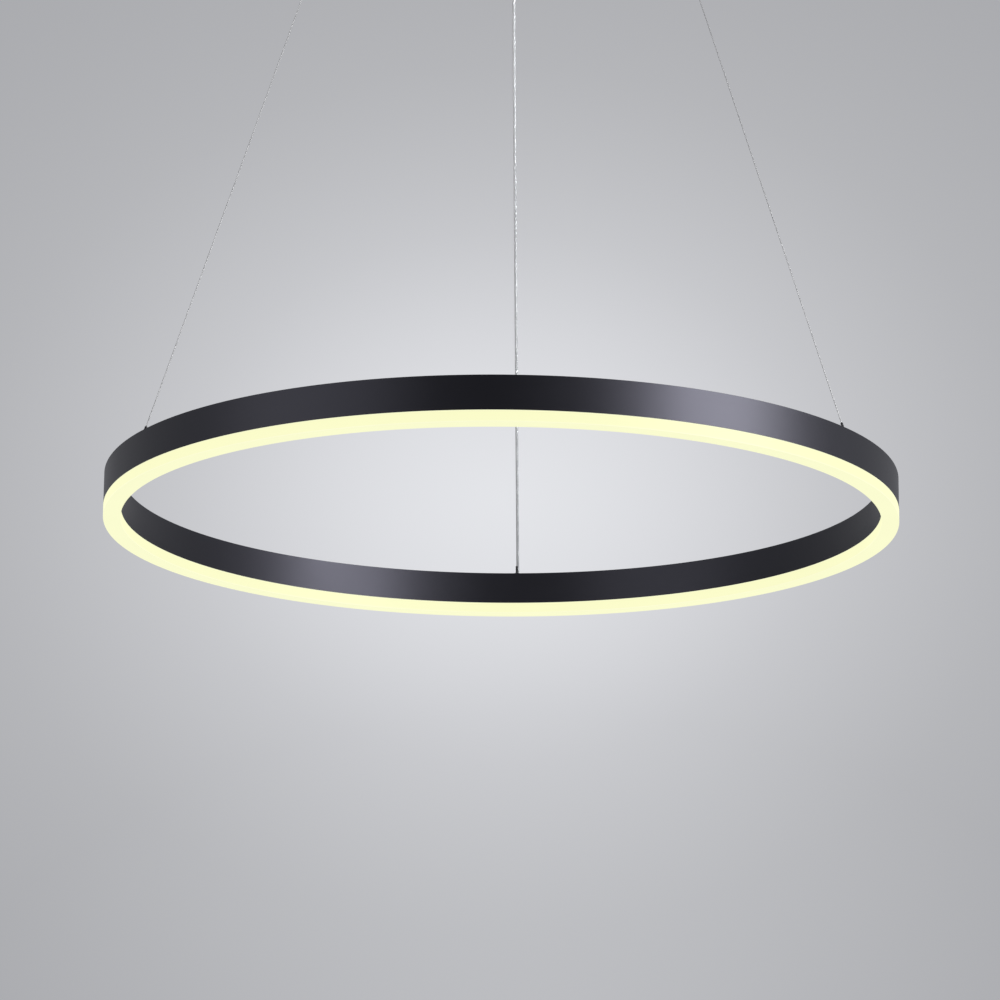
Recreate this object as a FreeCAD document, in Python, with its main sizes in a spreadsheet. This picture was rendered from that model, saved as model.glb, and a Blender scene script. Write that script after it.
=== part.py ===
"""A ring chandelier: a glowing ring on three thin wires, hung from a round ceiling canopy.

Millimetres, +Z up. The origin is on the ceiling, at the middle of the mounting bracket, so
everything hangs at negative Z. The rear wire and the power cord lie towards +Y.
"""

import FreeCAD, Part
import Sketcher
import math
import os
import re

doc = FreeCAD.newDocument("ring_chandelier")

# Driving dimensions
SIZES = (
    # the ring's casing, a bent aluminium channel, and its diffuser
    ("ring_radius", 400),
    ("ring_width", 17.5),
    ("casing_height", 33.5),
    ("casing_wall", 1.5),
    ("shelf_depth", 12),
    ("shelf_thickness", 1.5),
    ("seam_angle", 0.64),
    ("seam_gap", 0.3),
    ("groove_depth", 0.6),
    ("groove_height", 2.4),
    ("groove_rise", 4),
    ("diffuser_drop", 11.5),
    ("diffuser_floor", 2),
    ("diffuser_leg", 8),
    ("leg_thickness", 1.6),
    ("clip_proud", 0.4),
    # the light strip
    ("strip_width", 10),
    ("strip_thickness", 0.6),
    ("chip_length", 3.5),
    ("chip_width", 2.8),
    ("chip_height", 0.8),
    ("chip_count", 144),
    # the joint plate that closes the ring
    ("splice_length", 60),
    ("splice_width", 12),
    ("splice_thickness", 3),
    ("splice_screw_radius", 2),
    ("splice_screw_length", 4),
    ("splice_screw_spacing", 18),
    ("tool_hole_radius", 1.6),
    # the anchors on the ring and the wires
    ("anchor_flange_radius", 3.4),
    ("anchor_flange_height", 1.8),
    ("anchor_stud_radius", 2),
    ("anchor_stud_length", 8),
    ("anchor_nut_flats", 7),
    ("anchor_nut_height", 3.2),
    ("anchor_washer_radius", 4),
    ("anchor_washer_thickness", 0.8),
    ("ball_radius", 1.8),
    ("ball_height", 0.5),
    ("ferrule_radius", 1.3),
    ("ferrule_neck", 0.85),
    ("ferrule_start", 2.3),
    ("ferrule_end", 9.5),
    ("wire_radius", 0.5),
    ("wire_drop", 925),
    ("wire_grip_depth", 3),
    ("exit_circle", 85),
    # the power cord
    ("cord_radius", 1.1),
    ("cord_back", 5.5),
    ("cord_side", 1.2),
    ("gland_back", 15),
    ("gland_side", 1),
    ("grommet_flange", 2.1),
    ("grommet_proud", 0.8),
    ("grommet_body", 1.5),
    ("grommet_tail", 3),
    # the canopy
    ("canopy_rim", 10),
    ("canopy_depth", 38),
    ("canopy_sheet", 1),
    ("canopy_bend", 5),
    ("side_screw_height", 10),
    ("side_screw_radius", 2),
    ("side_head_radius", 4.5),
    ("side_head_length", 5),
    ("side_screw_length", 7),
    # the bracket on the ceiling
    ("bracket_sheet", 1.5),
    ("bracket_width", 24),
    ("bracket_gap", 1),
    ("bracket_tab", 17),
    ("slot_spacing", 120),
    ("slot_length", 20),
    ("slot_width", 5),
    ("supply_hole_radius", 6),
    # the cable grippers
    ("barrel_radius", 6.5),
    ("barrel_length", 11),
    ("shank_radius", 5),
    ("shank_length", 15),
    ("nozzle_radius", 2.5),
    ("nozzle_proud", 4),
    ("mouth_radius", 1.7),
    ("wire_bore", 0.7),
    ("press_travel", 2.5),
    ("cone_low", 2.65),
    ("cage_bore", 3.6),
    ("cone_bottom", 8),
    ("cone_top", 2),
    ("grip_ball_radius", 1.2),
    ("grip_ball_depth", 5.5),
    ("collar_height", 2),
    ("cap_thickness", 4),
    ("cap_bore", 0.8),
    ("spring_radius", 2.5),
    ("spring_wire", 0.3),
    ("spring_turns", 4),
    ("gripper_nut_flats", 14),
    ("gripper_nut_height", 4),
    # the gland of the power cord
    ("gland_flange", 4.2),
    ("gland_flange_height", 2),
    ("gland_nose", 10),
    ("gland_nose_radius", 2.2),
    ("gland_shank", 3),
    ("gland_shank_length", 9),
    ("gland_nut_flats", 8),
    ("gland_nut_height", 3),
    # the driver
    ("driver_length", 116),
    ("driver_width", 40),
    ("driver_height", 20),
    ("driver_wall", 1.5),
    ("pad_thickness", 1),
    ("driver_hole", 2.6),
    ("lid_lip", 2),
    ("board_thickness", 1.2),
    ("board_rise", 3),
    ("board_gap", 4.5),
    ("post_side", 4),
    ("post_inset", 14),
    ("parts_height", 10),
    ("core_length", 16),
    ("core_width", 12),
    ("bulk_radius", 5),
    ("choke_radius", 4),
    ("choke_section", 1.8),
    # the terminal block
    ("block_length", 28),
    ("block_width", 16),
    ("block_height", 12),
    ("block_place", 28),
    ("pole_pitch", 9),
    ("barrel_outer", 2.2),
    ("barrel_inner", 1.1),
    ("clamp_screw_radius", 1.2),
    ("block_screw_radius", 1.5),
    ("earth_place", 30),
    ("lead_radius", 1),
    # the plug and socket between the driver's lead and the cord
    ("plug_turn", 135),
    ("plug_bore", 4),
    ("plug_radius", 3.6),
    ("plug_length", 12),
    ("socket_radius", 4),
    ("socket_length", 12),
    # clearances
    ("running_gap", 0.05),
    ("slip_gap", 0.1),
    ("loose_gap", 0.3),
)

sheet = doc.addObject("Spreadsheet::Sheet", "sizes")
for row, (alias, number) in enumerate(SIZES, start=1):
    sheet.set(f"A{row}", alias)
    sheet.set(f"B{row}", str(number))
    sheet.setAlias(f"B{row}", alias)
doc.recompute()

# Places that follow from the driving dimensions
PLACES = {
    "ring_inner": "(ring_radius - ring_width)",
    "ring_mid": "(ring_radius - ring_width / 2)",
    "mouth_height": "(canopy_depth + barrel_length + nozzle_proud)",
    "ring_top": "(-(canopy_depth + barrel_length + nozzle_proud + wire_drop))",
    "shelf_under": "(shelf_depth + shelf_thickness)",
    "lean": "(ring_radius - ring_width / 2 - exit_circle)",
    "cord_foot": "(ring_radius - ring_width / 2 + cord_back)",
    "gland_place": "(exit_circle + gland_back)",
    "canopy_radius": "(exit_circle + gland_back + canopy_rim)",
    "bracket_reach": "(exit_circle + gland_back + canopy_rim - canopy_sheet - bracket_gap)",
    "canopy_floor": "(-(canopy_depth - canopy_sheet))",
    "driver_base": "(-(canopy_depth - canopy_sheet) + pad_thickness)",
}
WORD = re.compile(r"[a-z_]+[a-z]")
ALIASES = {alias for alias, number in SIZES}


def formula(text):
    """The text with each place written out and each driving dimension read from the sheet."""
    text = WORD.sub(lambda m: PLACES.get(m.group(), m.group()), str(text))
    return WORD.sub(lambda m: "sizes." + m.group() if m.group() in ALIASES else m.group(), text)


def value(text):
    """The number that a formula comes to."""
    number = sheet.evalExpression(formula(text))
    return float(getattr(number, "Value", number))


def place(item, x=0, y=0, z=0, yaw=0, pitch=0, roll=0):
    """Binds the object's placement: a point, and turns about Z, Y and X."""
    spot = f"create(<<vector>>; {formula(x)}; {formula(y)}; {formula(z)})"
    turn = f"create(<<rotation>>; {formula(yaw)}; {formula(pitch)}; {formula(roll)})"
    item.setExpression("Placement", f"create(<<placement>>; {spot}; {turn})")
    return item


def primitive(kind, label, **sizes):
    """A Part primitive whose properties are bound to formulas."""
    item = doc.addObject(f"Part::{kind}", label)
    for name, text in sizes.items():
        item.setExpression(name, formula(text))
    return item


def cylinder(label, radius, height, **at):
    return place(primitive("Cylinder", label, Radius=radius, Height=height), **at)


def box(label, length, width, height, x=0, y=0, z=0):
    """A box whose length and width are centred on the point, and that rises from it."""
    item = primitive("Box", label, Length=length, Width=width, Height=height)
    return place(item, x=f"{x} - ({length}) / 2", y=f"{y} - ({width}) / 2", z=z)


def join(label, *parts):
    item = doc.addObject("Part::MultiFuse", label)
    item.Shapes = list(parts)
    return item


def cut(label, base, *tools):
    """The base with the tools taken out of it."""
    item = doc.addObject("Part::Cut", label)
    item.Base = base
    item.Tool = tools[0] if len(tools) == 1 else join(label + "_cutters", *tools)
    return item


def group(label, parts):
    """Like pieces that share one node, each still a solid of its own."""
    item = doc.addObject("Part::Compound", label)
    item.Links = list(parts)
    return item


def section(body, name, loops):
    """A sketch on the body's XZ plane: loops of straight lines, their corners (r, z) bound to the sheet."""
    sketch = body.newObject("Sketcher::SketchObject", name)
    plane = [f for f in body.Origin.OriginFeatures if f.Role == "XZ_Plane"][0]
    sketch.AttachmentSupport = [(plane, "")]
    sketch.MapMode = "FlatFace"
    for corners in loops:
        first = sketch.GeometryCount
        spots = [FreeCAD.Vector(value(r), value(z), 0) for r, z in corners]
        count = len(spots)
        for i in range(count):
            sketch.addGeometry(Part.LineSegment(spots[i], spots[(i + 1) % count]), False)
        for i in range(count):
            after = first + (i + 1) % count
            sketch.addConstraint(Sketcher.Constraint("Coincident", first + i, 2, after, 1))
        for i, (r, z) in enumerate(corners):
            for way, text, number in (("DistanceX", r, spots[i].x), ("DistanceY", z, spots[i].y)):
                constraint = Sketcher.Constraint(way, -1, 1, first + i, 1, number)
                index = sketch.addConstraint(constraint)
                sketch.setExpression(f"Constraints[{index}]", formula(text))
    return sketch


def turned(label, *loops, angle=360):
    """A body turned about its own Z axis from the loops of its half section."""
    body = doc.addObject("PartDesign::Body", label)
    sketch = section(body, label + "_section", loops)
    spin = body.newObject("PartDesign::Revolution", label + "_turning")
    spin.Profile = sketch
    spin.ReferenceAxis = (sketch, ["V_Axis"])
    spin.Angle = angle
    return body


def hexagon(label, flats, height, bore, **at):
    """A hexagonal nut standing on the point, with a plain bore."""
    prism = primitive("Prism", label + "_blank", Circumradius=f"{flats} / sqrt(3)", Height=height)
    prism.Polygon = 6
    hole = cylinder(label + "_bore", bore, f"{height} + 2", z=-1)
    return place(cut(label, prism, hole), **at)


def tube(label, radius, points):
    """A round lead along straight runs that are joined by arcs as large as the runs leave room for."""
    spots = [FreeCAD.Vector(*(value(n) for n in p)) for p in points]
    edges = []
    bends = []
    start = spots[0]
    for before, corner, after in zip(spots, spots[1:], spots[2:]):
        into = (before - corner).normalize()
        out = (after - corner).normalize()
        half = into.getAngle(out) / 2
        back = 0.45 * min((before - corner).Length, (after - corner).Length)
        bend = back * math.tan(half)
        bends.append(bend)
        first = corner + into * back
        last = corner + out * back
        middle = corner + (into + out).normalize() * (bend / math.sin(half) - bend)
        edges.append(Part.LineSegment(start, first).toShape())
        edges.append(Part.Arc(first, middle, last).toShape())
        start = last
    edges.append(Part.LineSegment(start, spots[-1]).toShape())
    path = Part.Wire(edges)
    heading = spots[1] - spots[0]
    ring = Part.Wire([Part.Circle(spots[0], heading, value(radius)).toShape()])
    item = doc.addObject("Part::Feature", label)
    item.Shape = path.makePipeShell([ring], True, False)
    length = path.Length
    area = math.pi * value(radius) ** 2
    radii = " ".join(f"{bend:.1f}" for bend in bends)
    print(f"{label}: {item.Shape.Volume / (length * area):.3f} of section times length, bends {radii}")
    return item


def leaning(label, radius, foot, head, trim_foot=0, trim_head=0):
    """A taut wire from foot to head, cut level at both ends, with its section drawn level."""
    (fx, fy, fz), (hx, hy, hz) = foot, head
    tall = f"(({hz}) - ({fz}))"
    ring = primitive("Circle", label + "_end", Radius=radius)
    rise = f"({trim_foot}) / {tall}"
    place(
        ring,
        x=f"({fx}) + (({hx}) - ({fx})) * {rise}",
        y=f"({fy}) + (({hy}) - ({fy})) * {rise}",
        z=f"({fz}) + ({trim_foot})",
    )
    item = doc.addObject("Part::Extrusion", label)
    item.Base = ring
    item.DirMode = "Custom"
    item.Solid = True
    share = f"(1 - (({trim_foot}) + ({trim_head})) / {tall})"
    steps = [f"(({h}) - ({f})) * {share}" for f, h in ((fx, hx), (fy, hy), (fz, hz))]
    for axis, step in zip("xyz", steps):
        item.setExpression(f"Dir.{axis}", formula(step))
    item.setExpression("LengthFwd", formula("sqrt(" + " + ".join(f"({s})^2" for s in steps) + ")"))
    return item


nodes = []


def finished(item):
    """Marks the object as one of the pieces that are written out."""
    nodes.append(item)
    return item


WIRES = (("rear", 90), ("left", 210), ("right", 330))

# Casing of the ring: a channel with a shelf for the light strip, bent round and closed at one seam

casing_section = (
    ("ring_radius", "0"),
    ("ring_radius", "-casing_height"),
    ("ring_radius - casing_wall", "-casing_height"),
    ("ring_radius - casing_wall", "groove_rise - casing_height"),
    ("ring_radius - casing_wall + groove_depth", "groove_rise - casing_height"),
    ("ring_radius - casing_wall + groove_depth", "groove_rise + groove_height - casing_height"),
    ("ring_radius - casing_wall", "groove_rise + groove_height - casing_height"),
    ("ring_radius - casing_wall", "-shelf_under"),
    ("ring_inner + casing_wall", "-shelf_under"),
    ("ring_inner + casing_wall", "groove_rise + groove_height - casing_height"),
    ("ring_inner + casing_wall - groove_depth", "groove_rise + groove_height - casing_height"),
    ("ring_inner + casing_wall - groove_depth", "groove_rise - casing_height"),
    ("ring_inner + casing_wall", "groove_rise - casing_height"),
    ("ring_inner + casing_wall", "-casing_height"),
    ("ring_inner", "-casing_height"),
    ("ring_inner", "0"),
)
chamber_section = (
    ("ring_radius - casing_wall", "-casing_wall"),
    ("ring_radius - casing_wall", "-shelf_depth"),
    ("ring_inner + casing_wall", "-shelf_depth"),
    ("ring_inner + casing_wall", "-casing_wall"),
)
casing_blank = place(turned("casing_blank", casing_section, chamber_section), z="ring_top")

SEAM = "90 + seam_angle"
LEAD_TURN = 7
casing_cuts = [
    place(
        primitive("Box", "seam_cut", Length="ring_width + 4", Width="seam_gap", Height="casing_height + 2"),
        x=f"(ring_inner - 2) * cos({SEAM})",
        y=f"(ring_inner - 2) * sin({SEAM})",
        z="ring_top - casing_height - 1",
        yaw=SEAM,
    ),
    cylinder(
        "grommet_hole",
        "grommet_body + running_gap",
        "casing_wall + 2",
        x="cord_side",
        y="cord_foot",
        z="ring_top - casing_wall - 1",
    ),
]
for side, turn in WIRES:
    casing_cuts.append(
        cylinder(
            f"anchor_hole_{side}",
            "anchor_stud_radius + slip_gap",
            "casing_wall + 2",
            x=f"ring_mid * cos({turn})",
            y=f"ring_mid * sin({turn})",
            z="ring_top - casing_wall - 1",
        )
    )
LEAD_HOLE = dict(x=f"ring_mid * cos(90 - {LEAD_TURN})", y=f"ring_mid * sin(90 - {LEAD_TURN})")
lead_way = "lead_radius + loose_gap"
lead_hole_low = "ring_top - shelf_under - 1"
lead_hole = cylinder("lead_hole", lead_way, "shelf_thickness + 2", z=lead_hole_low, **LEAD_HOLE)
casing_cuts.append(lead_hole)

# Joint plate inside the top chamber, with four set screws that are reached through the casing's top
SPLICE_STEPS = (-1.5, -0.5, 0.5, 1.5)
SCREW_TURNS = [f"({SEAM}) + {step} * splice_screw_spacing / ring_mid * 180 / pi" for step in SPLICE_STEPS]
for number, turn in enumerate(SCREW_TURNS, start=1):
    casing_cuts.append(
        cylinder(
            f"tool_hole_{number}",
            "tool_hole_radius",
            "casing_wall + 2",
            x=f"(ring_mid - 3.5) * cos({turn})",
            y=f"(ring_mid - 3.5) * sin({turn})",
            z="ring_top - casing_wall - 1",
        )
    )
finished(cut("ring_casing", casing_blank, *casing_cuts))

splice_section = (
    ("ring_mid - splice_width / 2", "-shelf_depth"),
    ("ring_mid + splice_width / 2", "-shelf_depth"),
    ("ring_mid + splice_width / 2", "splice_thickness - shelf_depth"),
    ("ring_mid - splice_width / 2", "splice_thickness - shelf_depth"),
)
splice_blank = turned("splice_blank", splice_section)
splice_blank.Tip.setExpression("Angle", formula("splice_length / ring_mid * 180 / pi"))
place(splice_blank, z="ring_top", yaw=f"{SEAM} - splice_length / ring_mid * 90 / pi")
splice_holes = []
splice_screws = []
for number, turn in enumerate(SCREW_TURNS, start=1):
    spot = dict(x=f"(ring_mid - 3.5) * cos({turn})", y=f"(ring_mid - 3.5) * sin({turn})")
    foot = "ring_top - shelf_depth"
    thread = "splice_screw_radius + running_gap"
    splice_holes.append(
        cylinder(f"splice_hole_{number}", thread, "splice_thickness + 2", z=f"{foot} - 1", **spot)
    )
    name = f"set_screw_{number}"
    blank = cylinder(f"{name}_blank", "splice_screw_radius", "splice_screw_length", z=foot, **spot)
    socket = primitive("Prism", f"{name}_socket", Circumradius="splice_screw_radius / 2", Height=2)
    place(socket, z=f"{foot} + splice_screw_length - 1.5", **spot)
    splice_screws.append(cut(name, blank, socket))
finished(cut("joint_plate", splice_blank, *splice_holes))
finished(group("joint_set_screws", splice_screws))

# Light strip under the shelf, and its chips
strip_section = (
    ("ring_mid - strip_width / 2", "-shelf_under"),
    ("ring_mid - strip_width / 2", "-shelf_under - strip_thickness"),
    ("ring_mid + strip_width / 2", "-shelf_under - strip_thickness"),
    ("ring_mid + strip_width / 2", "-shelf_under"),
)
strip_blank = place(turned("strip_blank", strip_section), z="ring_top")
strip_hole = cylinder("strip_hole", lead_way, 4, z="ring_top - shelf_under - 2", **LEAD_HOLE)
finished(cut("light_strip", strip_blank, strip_hole))


def light_chips():
    """The chips as a compound of small blocks, evenly spaced round the strip, clear of the lead's hole."""
    count = int(value("chip_count"))
    across, along, tall = (value(name) for name in ("chip_width", "chip_length", "chip_height"))
    low = value("ring_top - shelf_under - strip_thickness - chip_height")
    corner = FreeCAD.Vector(value("ring_mid") - across / 2, -along / 2, low)
    chips = []
    for number in range(count):
        chip = Part.makeBox(across, along, tall, corner)
        turn = 90 - LEAD_TURN + (number + 0.5) * 360 / count
        chip.rotate(FreeCAD.Vector(), FreeCAD.Vector(0, 0, 1), turn)
        chips.append(chip)
    item = doc.addObject("Part::Feature", "light_chips")
    item.Shape = Part.makeCompound(chips)
    return item


finished(light_chips())

# Diffuser: a milky trough whose two legs clip into the grooves of the casing
leg_out = "ring_radius - casing_wall - slip_gap"
leg_in = "ring_inner + casing_wall + slip_gap"
clip_low = "groove_rise + slip_gap - casing_height"
clip_high = "groove_rise + groove_height - slip_gap - casing_height"
diffuser_section = (
    ("ring_radius", "-casing_height"),
    ("ring_radius", "-casing_height - diffuser_drop"),
    ("ring_inner", "-casing_height - diffuser_drop"),
    ("ring_inner", "-casing_height"),
    (leg_in, "-casing_height"),
    (leg_in, clip_low),
    (f"{leg_in} - clip_proud", clip_low),
    (leg_in, clip_high),
    (leg_in, "diffuser_leg - casing_height"),
    (f"{leg_in} + leg_thickness", "diffuser_leg - casing_height"),
    (f"{leg_in} + leg_thickness", "diffuser_floor - casing_height - diffuser_drop"),
    (f"{leg_out} - leg_thickness", "diffuser_floor - casing_height - diffuser_drop"),
    (f"{leg_out} - leg_thickness", "diffuser_leg - casing_height"),
    (leg_out, "diffuser_leg - casing_height"),
    (leg_out, clip_high),
    (f"{leg_out} + clip_proud", clip_low),
    (leg_out, clip_low),
    (leg_out, "-casing_height"),
)
finished(place(turned("diffuser", diffuser_section), z="ring_top"))

# Anchors on the ring: a cupped stud, its washer and nut, and the ball-ended ferrule of each wire
cup = "ball_radius + running_gap"
mouth = "ball_radius - 0.2"
lip = f"sqrt(({cup})^2 - ({mouth})^2)"
ferrule_turn = "-atan(lean / wire_drop)"
wire_start = "(ferrule_end - wire_grip_depth) * wire_drop / sqrt(wire_drop^2 + lean^2)"
wire_ends = {
    side: (
        (f"ring_mid * cos({turn})", f"ring_mid * sin({turn})", "ring_top + ball_height"),
        (f"exit_circle * cos({turn})", f"exit_circle * sin({turn})", "-mouth_height"),
    )
    for side, turn in WIRES
}
studs = []
washers = []
nuts = []
ferrules = []
for side, turn in WIRES:
    spot = dict(x=f"ring_mid * cos({turn})", y=f"ring_mid * sin({turn})")
    stud = turned(
        f"stud_blank_{side}",
        (
            ("0", "-anchor_stud_length"),
            ("anchor_stud_radius", "-anchor_stud_length"),
            ("anchor_stud_radius", "0"),
            ("anchor_flange_radius", "0"),
            ("anchor_flange_radius", "anchor_flange_height - 0.4"),
            ("anchor_flange_radius - 0.4", "anchor_flange_height"),
            ("0", "anchor_flange_height"),
        ),
    )
    place(stud, z="ring_top", **spot)
    hollow = place(primitive("Sphere", f"cup_{side}", Radius=cup), z="ring_top + ball_height", **spot)
    opening = cylinder(f"cup_mouth_{side}", mouth, 3, z="ring_top + ball_height", **spot)
    studs.append(cut(f"anchor_stud_{side}", stud, hollow, opening))
    disc = cylinder(f"washer_blank_{side}", "anchor_washer_radius", "anchor_washer_thickness", **spot)
    place(disc, z="ring_top - casing_wall - anchor_washer_thickness", **spot)
    washer_way, bore_low = "anchor_stud_radius + slip_gap", "ring_top - 2 - casing_wall"
    bore = cylinder(f"washer_bore_{side}", washer_way, 4, z=bore_low, **spot)
    washers.append(cut(f"anchor_washer_{side}", disc, bore))
    nuts.append(
        hexagon(
            f"anchor_nut_{side}",
            "anchor_nut_flats",
            "anchor_nut_height",
            "anchor_stud_radius + running_gap",
            z="ring_top - casing_wall - anchor_washer_thickness - anchor_nut_height",
            yaw=turn,
            **spot,
        )
    )
    ball = primitive("Sphere", f"ball_{side}", Radius="ball_radius")
    neck = cylinder(f"neck_{side}", "ferrule_neck", "ferrule_start + 0.5")
    sleeve = cylinder(f"sleeve_{side}", "ferrule_radius", "ferrule_end - ferrule_start", z="ferrule_start")
    shape = join(f"ferrule_blank_{side}", ball, neck, sleeve)
    place(shape, z="ring_top + ball_height", yaw=turn, pitch=ferrule_turn, **spot)
    foot, head = wire_ends[side]
    spare = "wire_drop - 4 * ferrule_end"
    eye = leaning(f"eye_{side}", "wire_radius + running_gap", foot, head, wire_start, spare)
    ferrules.append(cut(f"ferrule_{side}", shape, eye))
finished(group("anchor_studs", studs))
finished(group("anchor_washers", washers))
finished(group("anchor_nuts", nuts))
finished(group("wire_ferrules", ferrules))

# Suspension wires, each taut from its ferrule to the mouth of its gripper
for side, turn in WIRES:
    foot, head = wire_ends[side]
    finished(leaning(f"wire_{side}", "wire_radius", foot, head, wire_start))

# Power cord, from the gland on the canopy to the grommet on the ring
cord_foot_point = ("cord_side", "cord_foot", "ring_top + 0.3")
cord_head_point = ("gland_side", "gland_place", "-canopy_depth - gland_flange_height - gland_nose + 0.5")
finished(leaning("power_cord", "cord_radius", cord_foot_point, cord_head_point))

grommet_profile = (
    ("cord_radius + running_gap", "-casing_wall - grommet_tail"),
    ("grommet_body", "-casing_wall - grommet_tail"),
    ("grommet_body", "0"),
    ("grommet_flange", "0"),
    ("grommet_flange", "grommet_proud"),
    ("grommet_flange - 0.5", "grommet_proud"),
    ("cord_radius + running_gap", "-1"),
)
finished(place(turned("cord_grommet", grommet_profile), x="cord_side", y="cord_foot", z="ring_top"))

finished(
    tube(
        "strip_lead",
        "lead_radius",
        [
            cord_foot_point,
            ("cord_side", "cord_foot", "ring_top - 7.4"),
            (f"cord_foot * sin({LEAD_TURN} / 2)", f"cord_foot * cos({LEAD_TURN} / 2)", "ring_top - 7.4"),
            (f"ring_mid * sin({LEAD_TURN})", f"ring_mid * cos({LEAD_TURN})", "ring_top - 7.4"),
            (
                f"ring_mid * sin({LEAD_TURN})",
                f"ring_mid * cos({LEAD_TURN})",
                "ring_top - shelf_under - strip_thickness - chip_height",
            ),
        ],
    )
)

# Ceiling bracket: a pressed strap with two slots for the ceiling screws and a tab at each end
strap = box("strap", "2 * bracket_reach", "bracket_width", "bracket_sheet", z="-bracket_sheet")
tab_spots = (("left", -1), ("right", 1))
tabs = [
    box(
        f"tab_{side}",
        "bracket_sheet",
        "bracket_width",
        "bracket_tab",
        x=f"{way} * (bracket_reach - bracket_sheet / 2)",
        z="-bracket_tab",
    )
    for side, way in tab_spots
]
strap_cuts = [cylinder("supply_hole", "supply_hole_radius", "bracket_sheet + 2", z="-bracket_sheet - 1")]
for side, way in tab_spots:
    middle = f"{way} * slot_spacing / 2"
    straight = "(slot_length - slot_width)"
    strap_cuts.append(
        box(f"slot_{side}", straight, "slot_width", "bracket_sheet + 2", x=middle, z="-bracket_sheet - 1")
    )
    for end, step in (("inner", -1), ("outer", 1)):
        spot = dict(x=f"{middle} + {step} * {straight} / 2", z="-bracket_sheet - 1")
        strap_cuts.append(cylinder(f"slot_{side}_{end}", "slot_width / 2", "bracket_sheet + 2", **spot))
    strap_cuts.append(
        cylinder(
            f"tab_hole_{side}",
            "side_screw_radius + running_gap",
            "4 * bracket_sheet",
            x=f"{way} * (bracket_reach + bracket_sheet)",
            z="-side_screw_height",
            pitch=-90 * way,
        )
    )
strap_cuts.append(
    cylinder(
        "earth_hole",
        "side_screw_radius + running_gap",
        "bracket_sheet + 2",
        x="-earth_place",
        z="-bracket_sheet - 1",
    )
)
strap_cuts.append(
    cylinder(
        "block_screw_hole",
        "block_screw_radius + running_gap",
        "bracket_sheet + 2",
        x="block_place + pole_pitch / 2",
        z="-bracket_sheet - 1",
    )
)
finished(cut("mounting_bracket", join("bracket_blank", strap, *tabs), *strap_cuts))

# Canopy: a pressed steel cup, with holes for three grippers, the gland and two side screws
canopy_profile = (
    ("canopy_radius", "0"),
    ("canopy_radius", "canopy_bend - canopy_depth"),
    ("canopy_radius - canopy_bend * 0.293", "canopy_bend * 0.293 - canopy_depth"),
    ("canopy_radius - canopy_bend", "-canopy_depth"),
    ("0", "-canopy_depth"),
    ("0", "canopy_sheet - canopy_depth"),
    ("canopy_radius - canopy_bend", "canopy_sheet - canopy_depth"),
    (
        "canopy_radius - canopy_sheet - (canopy_bend - canopy_sheet) * 0.293",
        "(canopy_bend - canopy_sheet) * 0.293 + canopy_sheet - canopy_depth",
    ),
    ("canopy_radius - canopy_sheet", "canopy_bend - canopy_depth"),
    ("canopy_radius - canopy_sheet", "0"),
)
canopy_blank = turned("canopy_blank", canopy_profile)
gland_spot = dict(x="gland_side", y="gland_place")
gland_way = "gland_shank + slip_gap"
canopy_cuts = [cylinder("gland_hole", gland_way, "canopy_sheet + 2", z="-canopy_depth - 1", **gland_spot)]
for side, turn in WIRES:
    canopy_cuts.append(
        cylinder(
            f"gripper_hole_{side}",
            "shank_radius + slip_gap",
            "canopy_sheet + 2",
            x=f"exit_circle * cos({turn})",
            y=f"exit_circle * sin({turn})",
            z="-canopy_depth - 1",
        )
    )
for side, way in tab_spots:
    canopy_cuts.append(
        cylinder(
            f"side_hole_{side}",
            "side_screw_radius + slip_gap",
            "4 * canopy_sheet",
            x=f"{way} * (canopy_radius + canopy_sheet)",
            z="-side_screw_height",
            pitch=-90 * way,
        )
    )
finished(cut("canopy_cup", canopy_blank, *canopy_cuts))

side_screws = []
for side, way in tab_spots:
    profile = (
        ("0", "0"),
        ("side_head_radius - 0.5", "0"),
        ("side_head_radius", "0.5"),
        ("side_head_radius", "side_head_length"),
        ("side_screw_radius", "side_head_length"),
        ("side_screw_radius", "side_head_length + side_screw_length"),
        ("0", "side_head_length + side_screw_length"),
    )
    screw = turned(f"side_screw_{side}", profile)
    start = f"{way} * (canopy_radius + side_head_length)"
    side_screws.append(place(screw, x=start, z="-side_screw_height", pitch=-90 * way))
finished(group("canopy_side_screws", side_screws))

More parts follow.
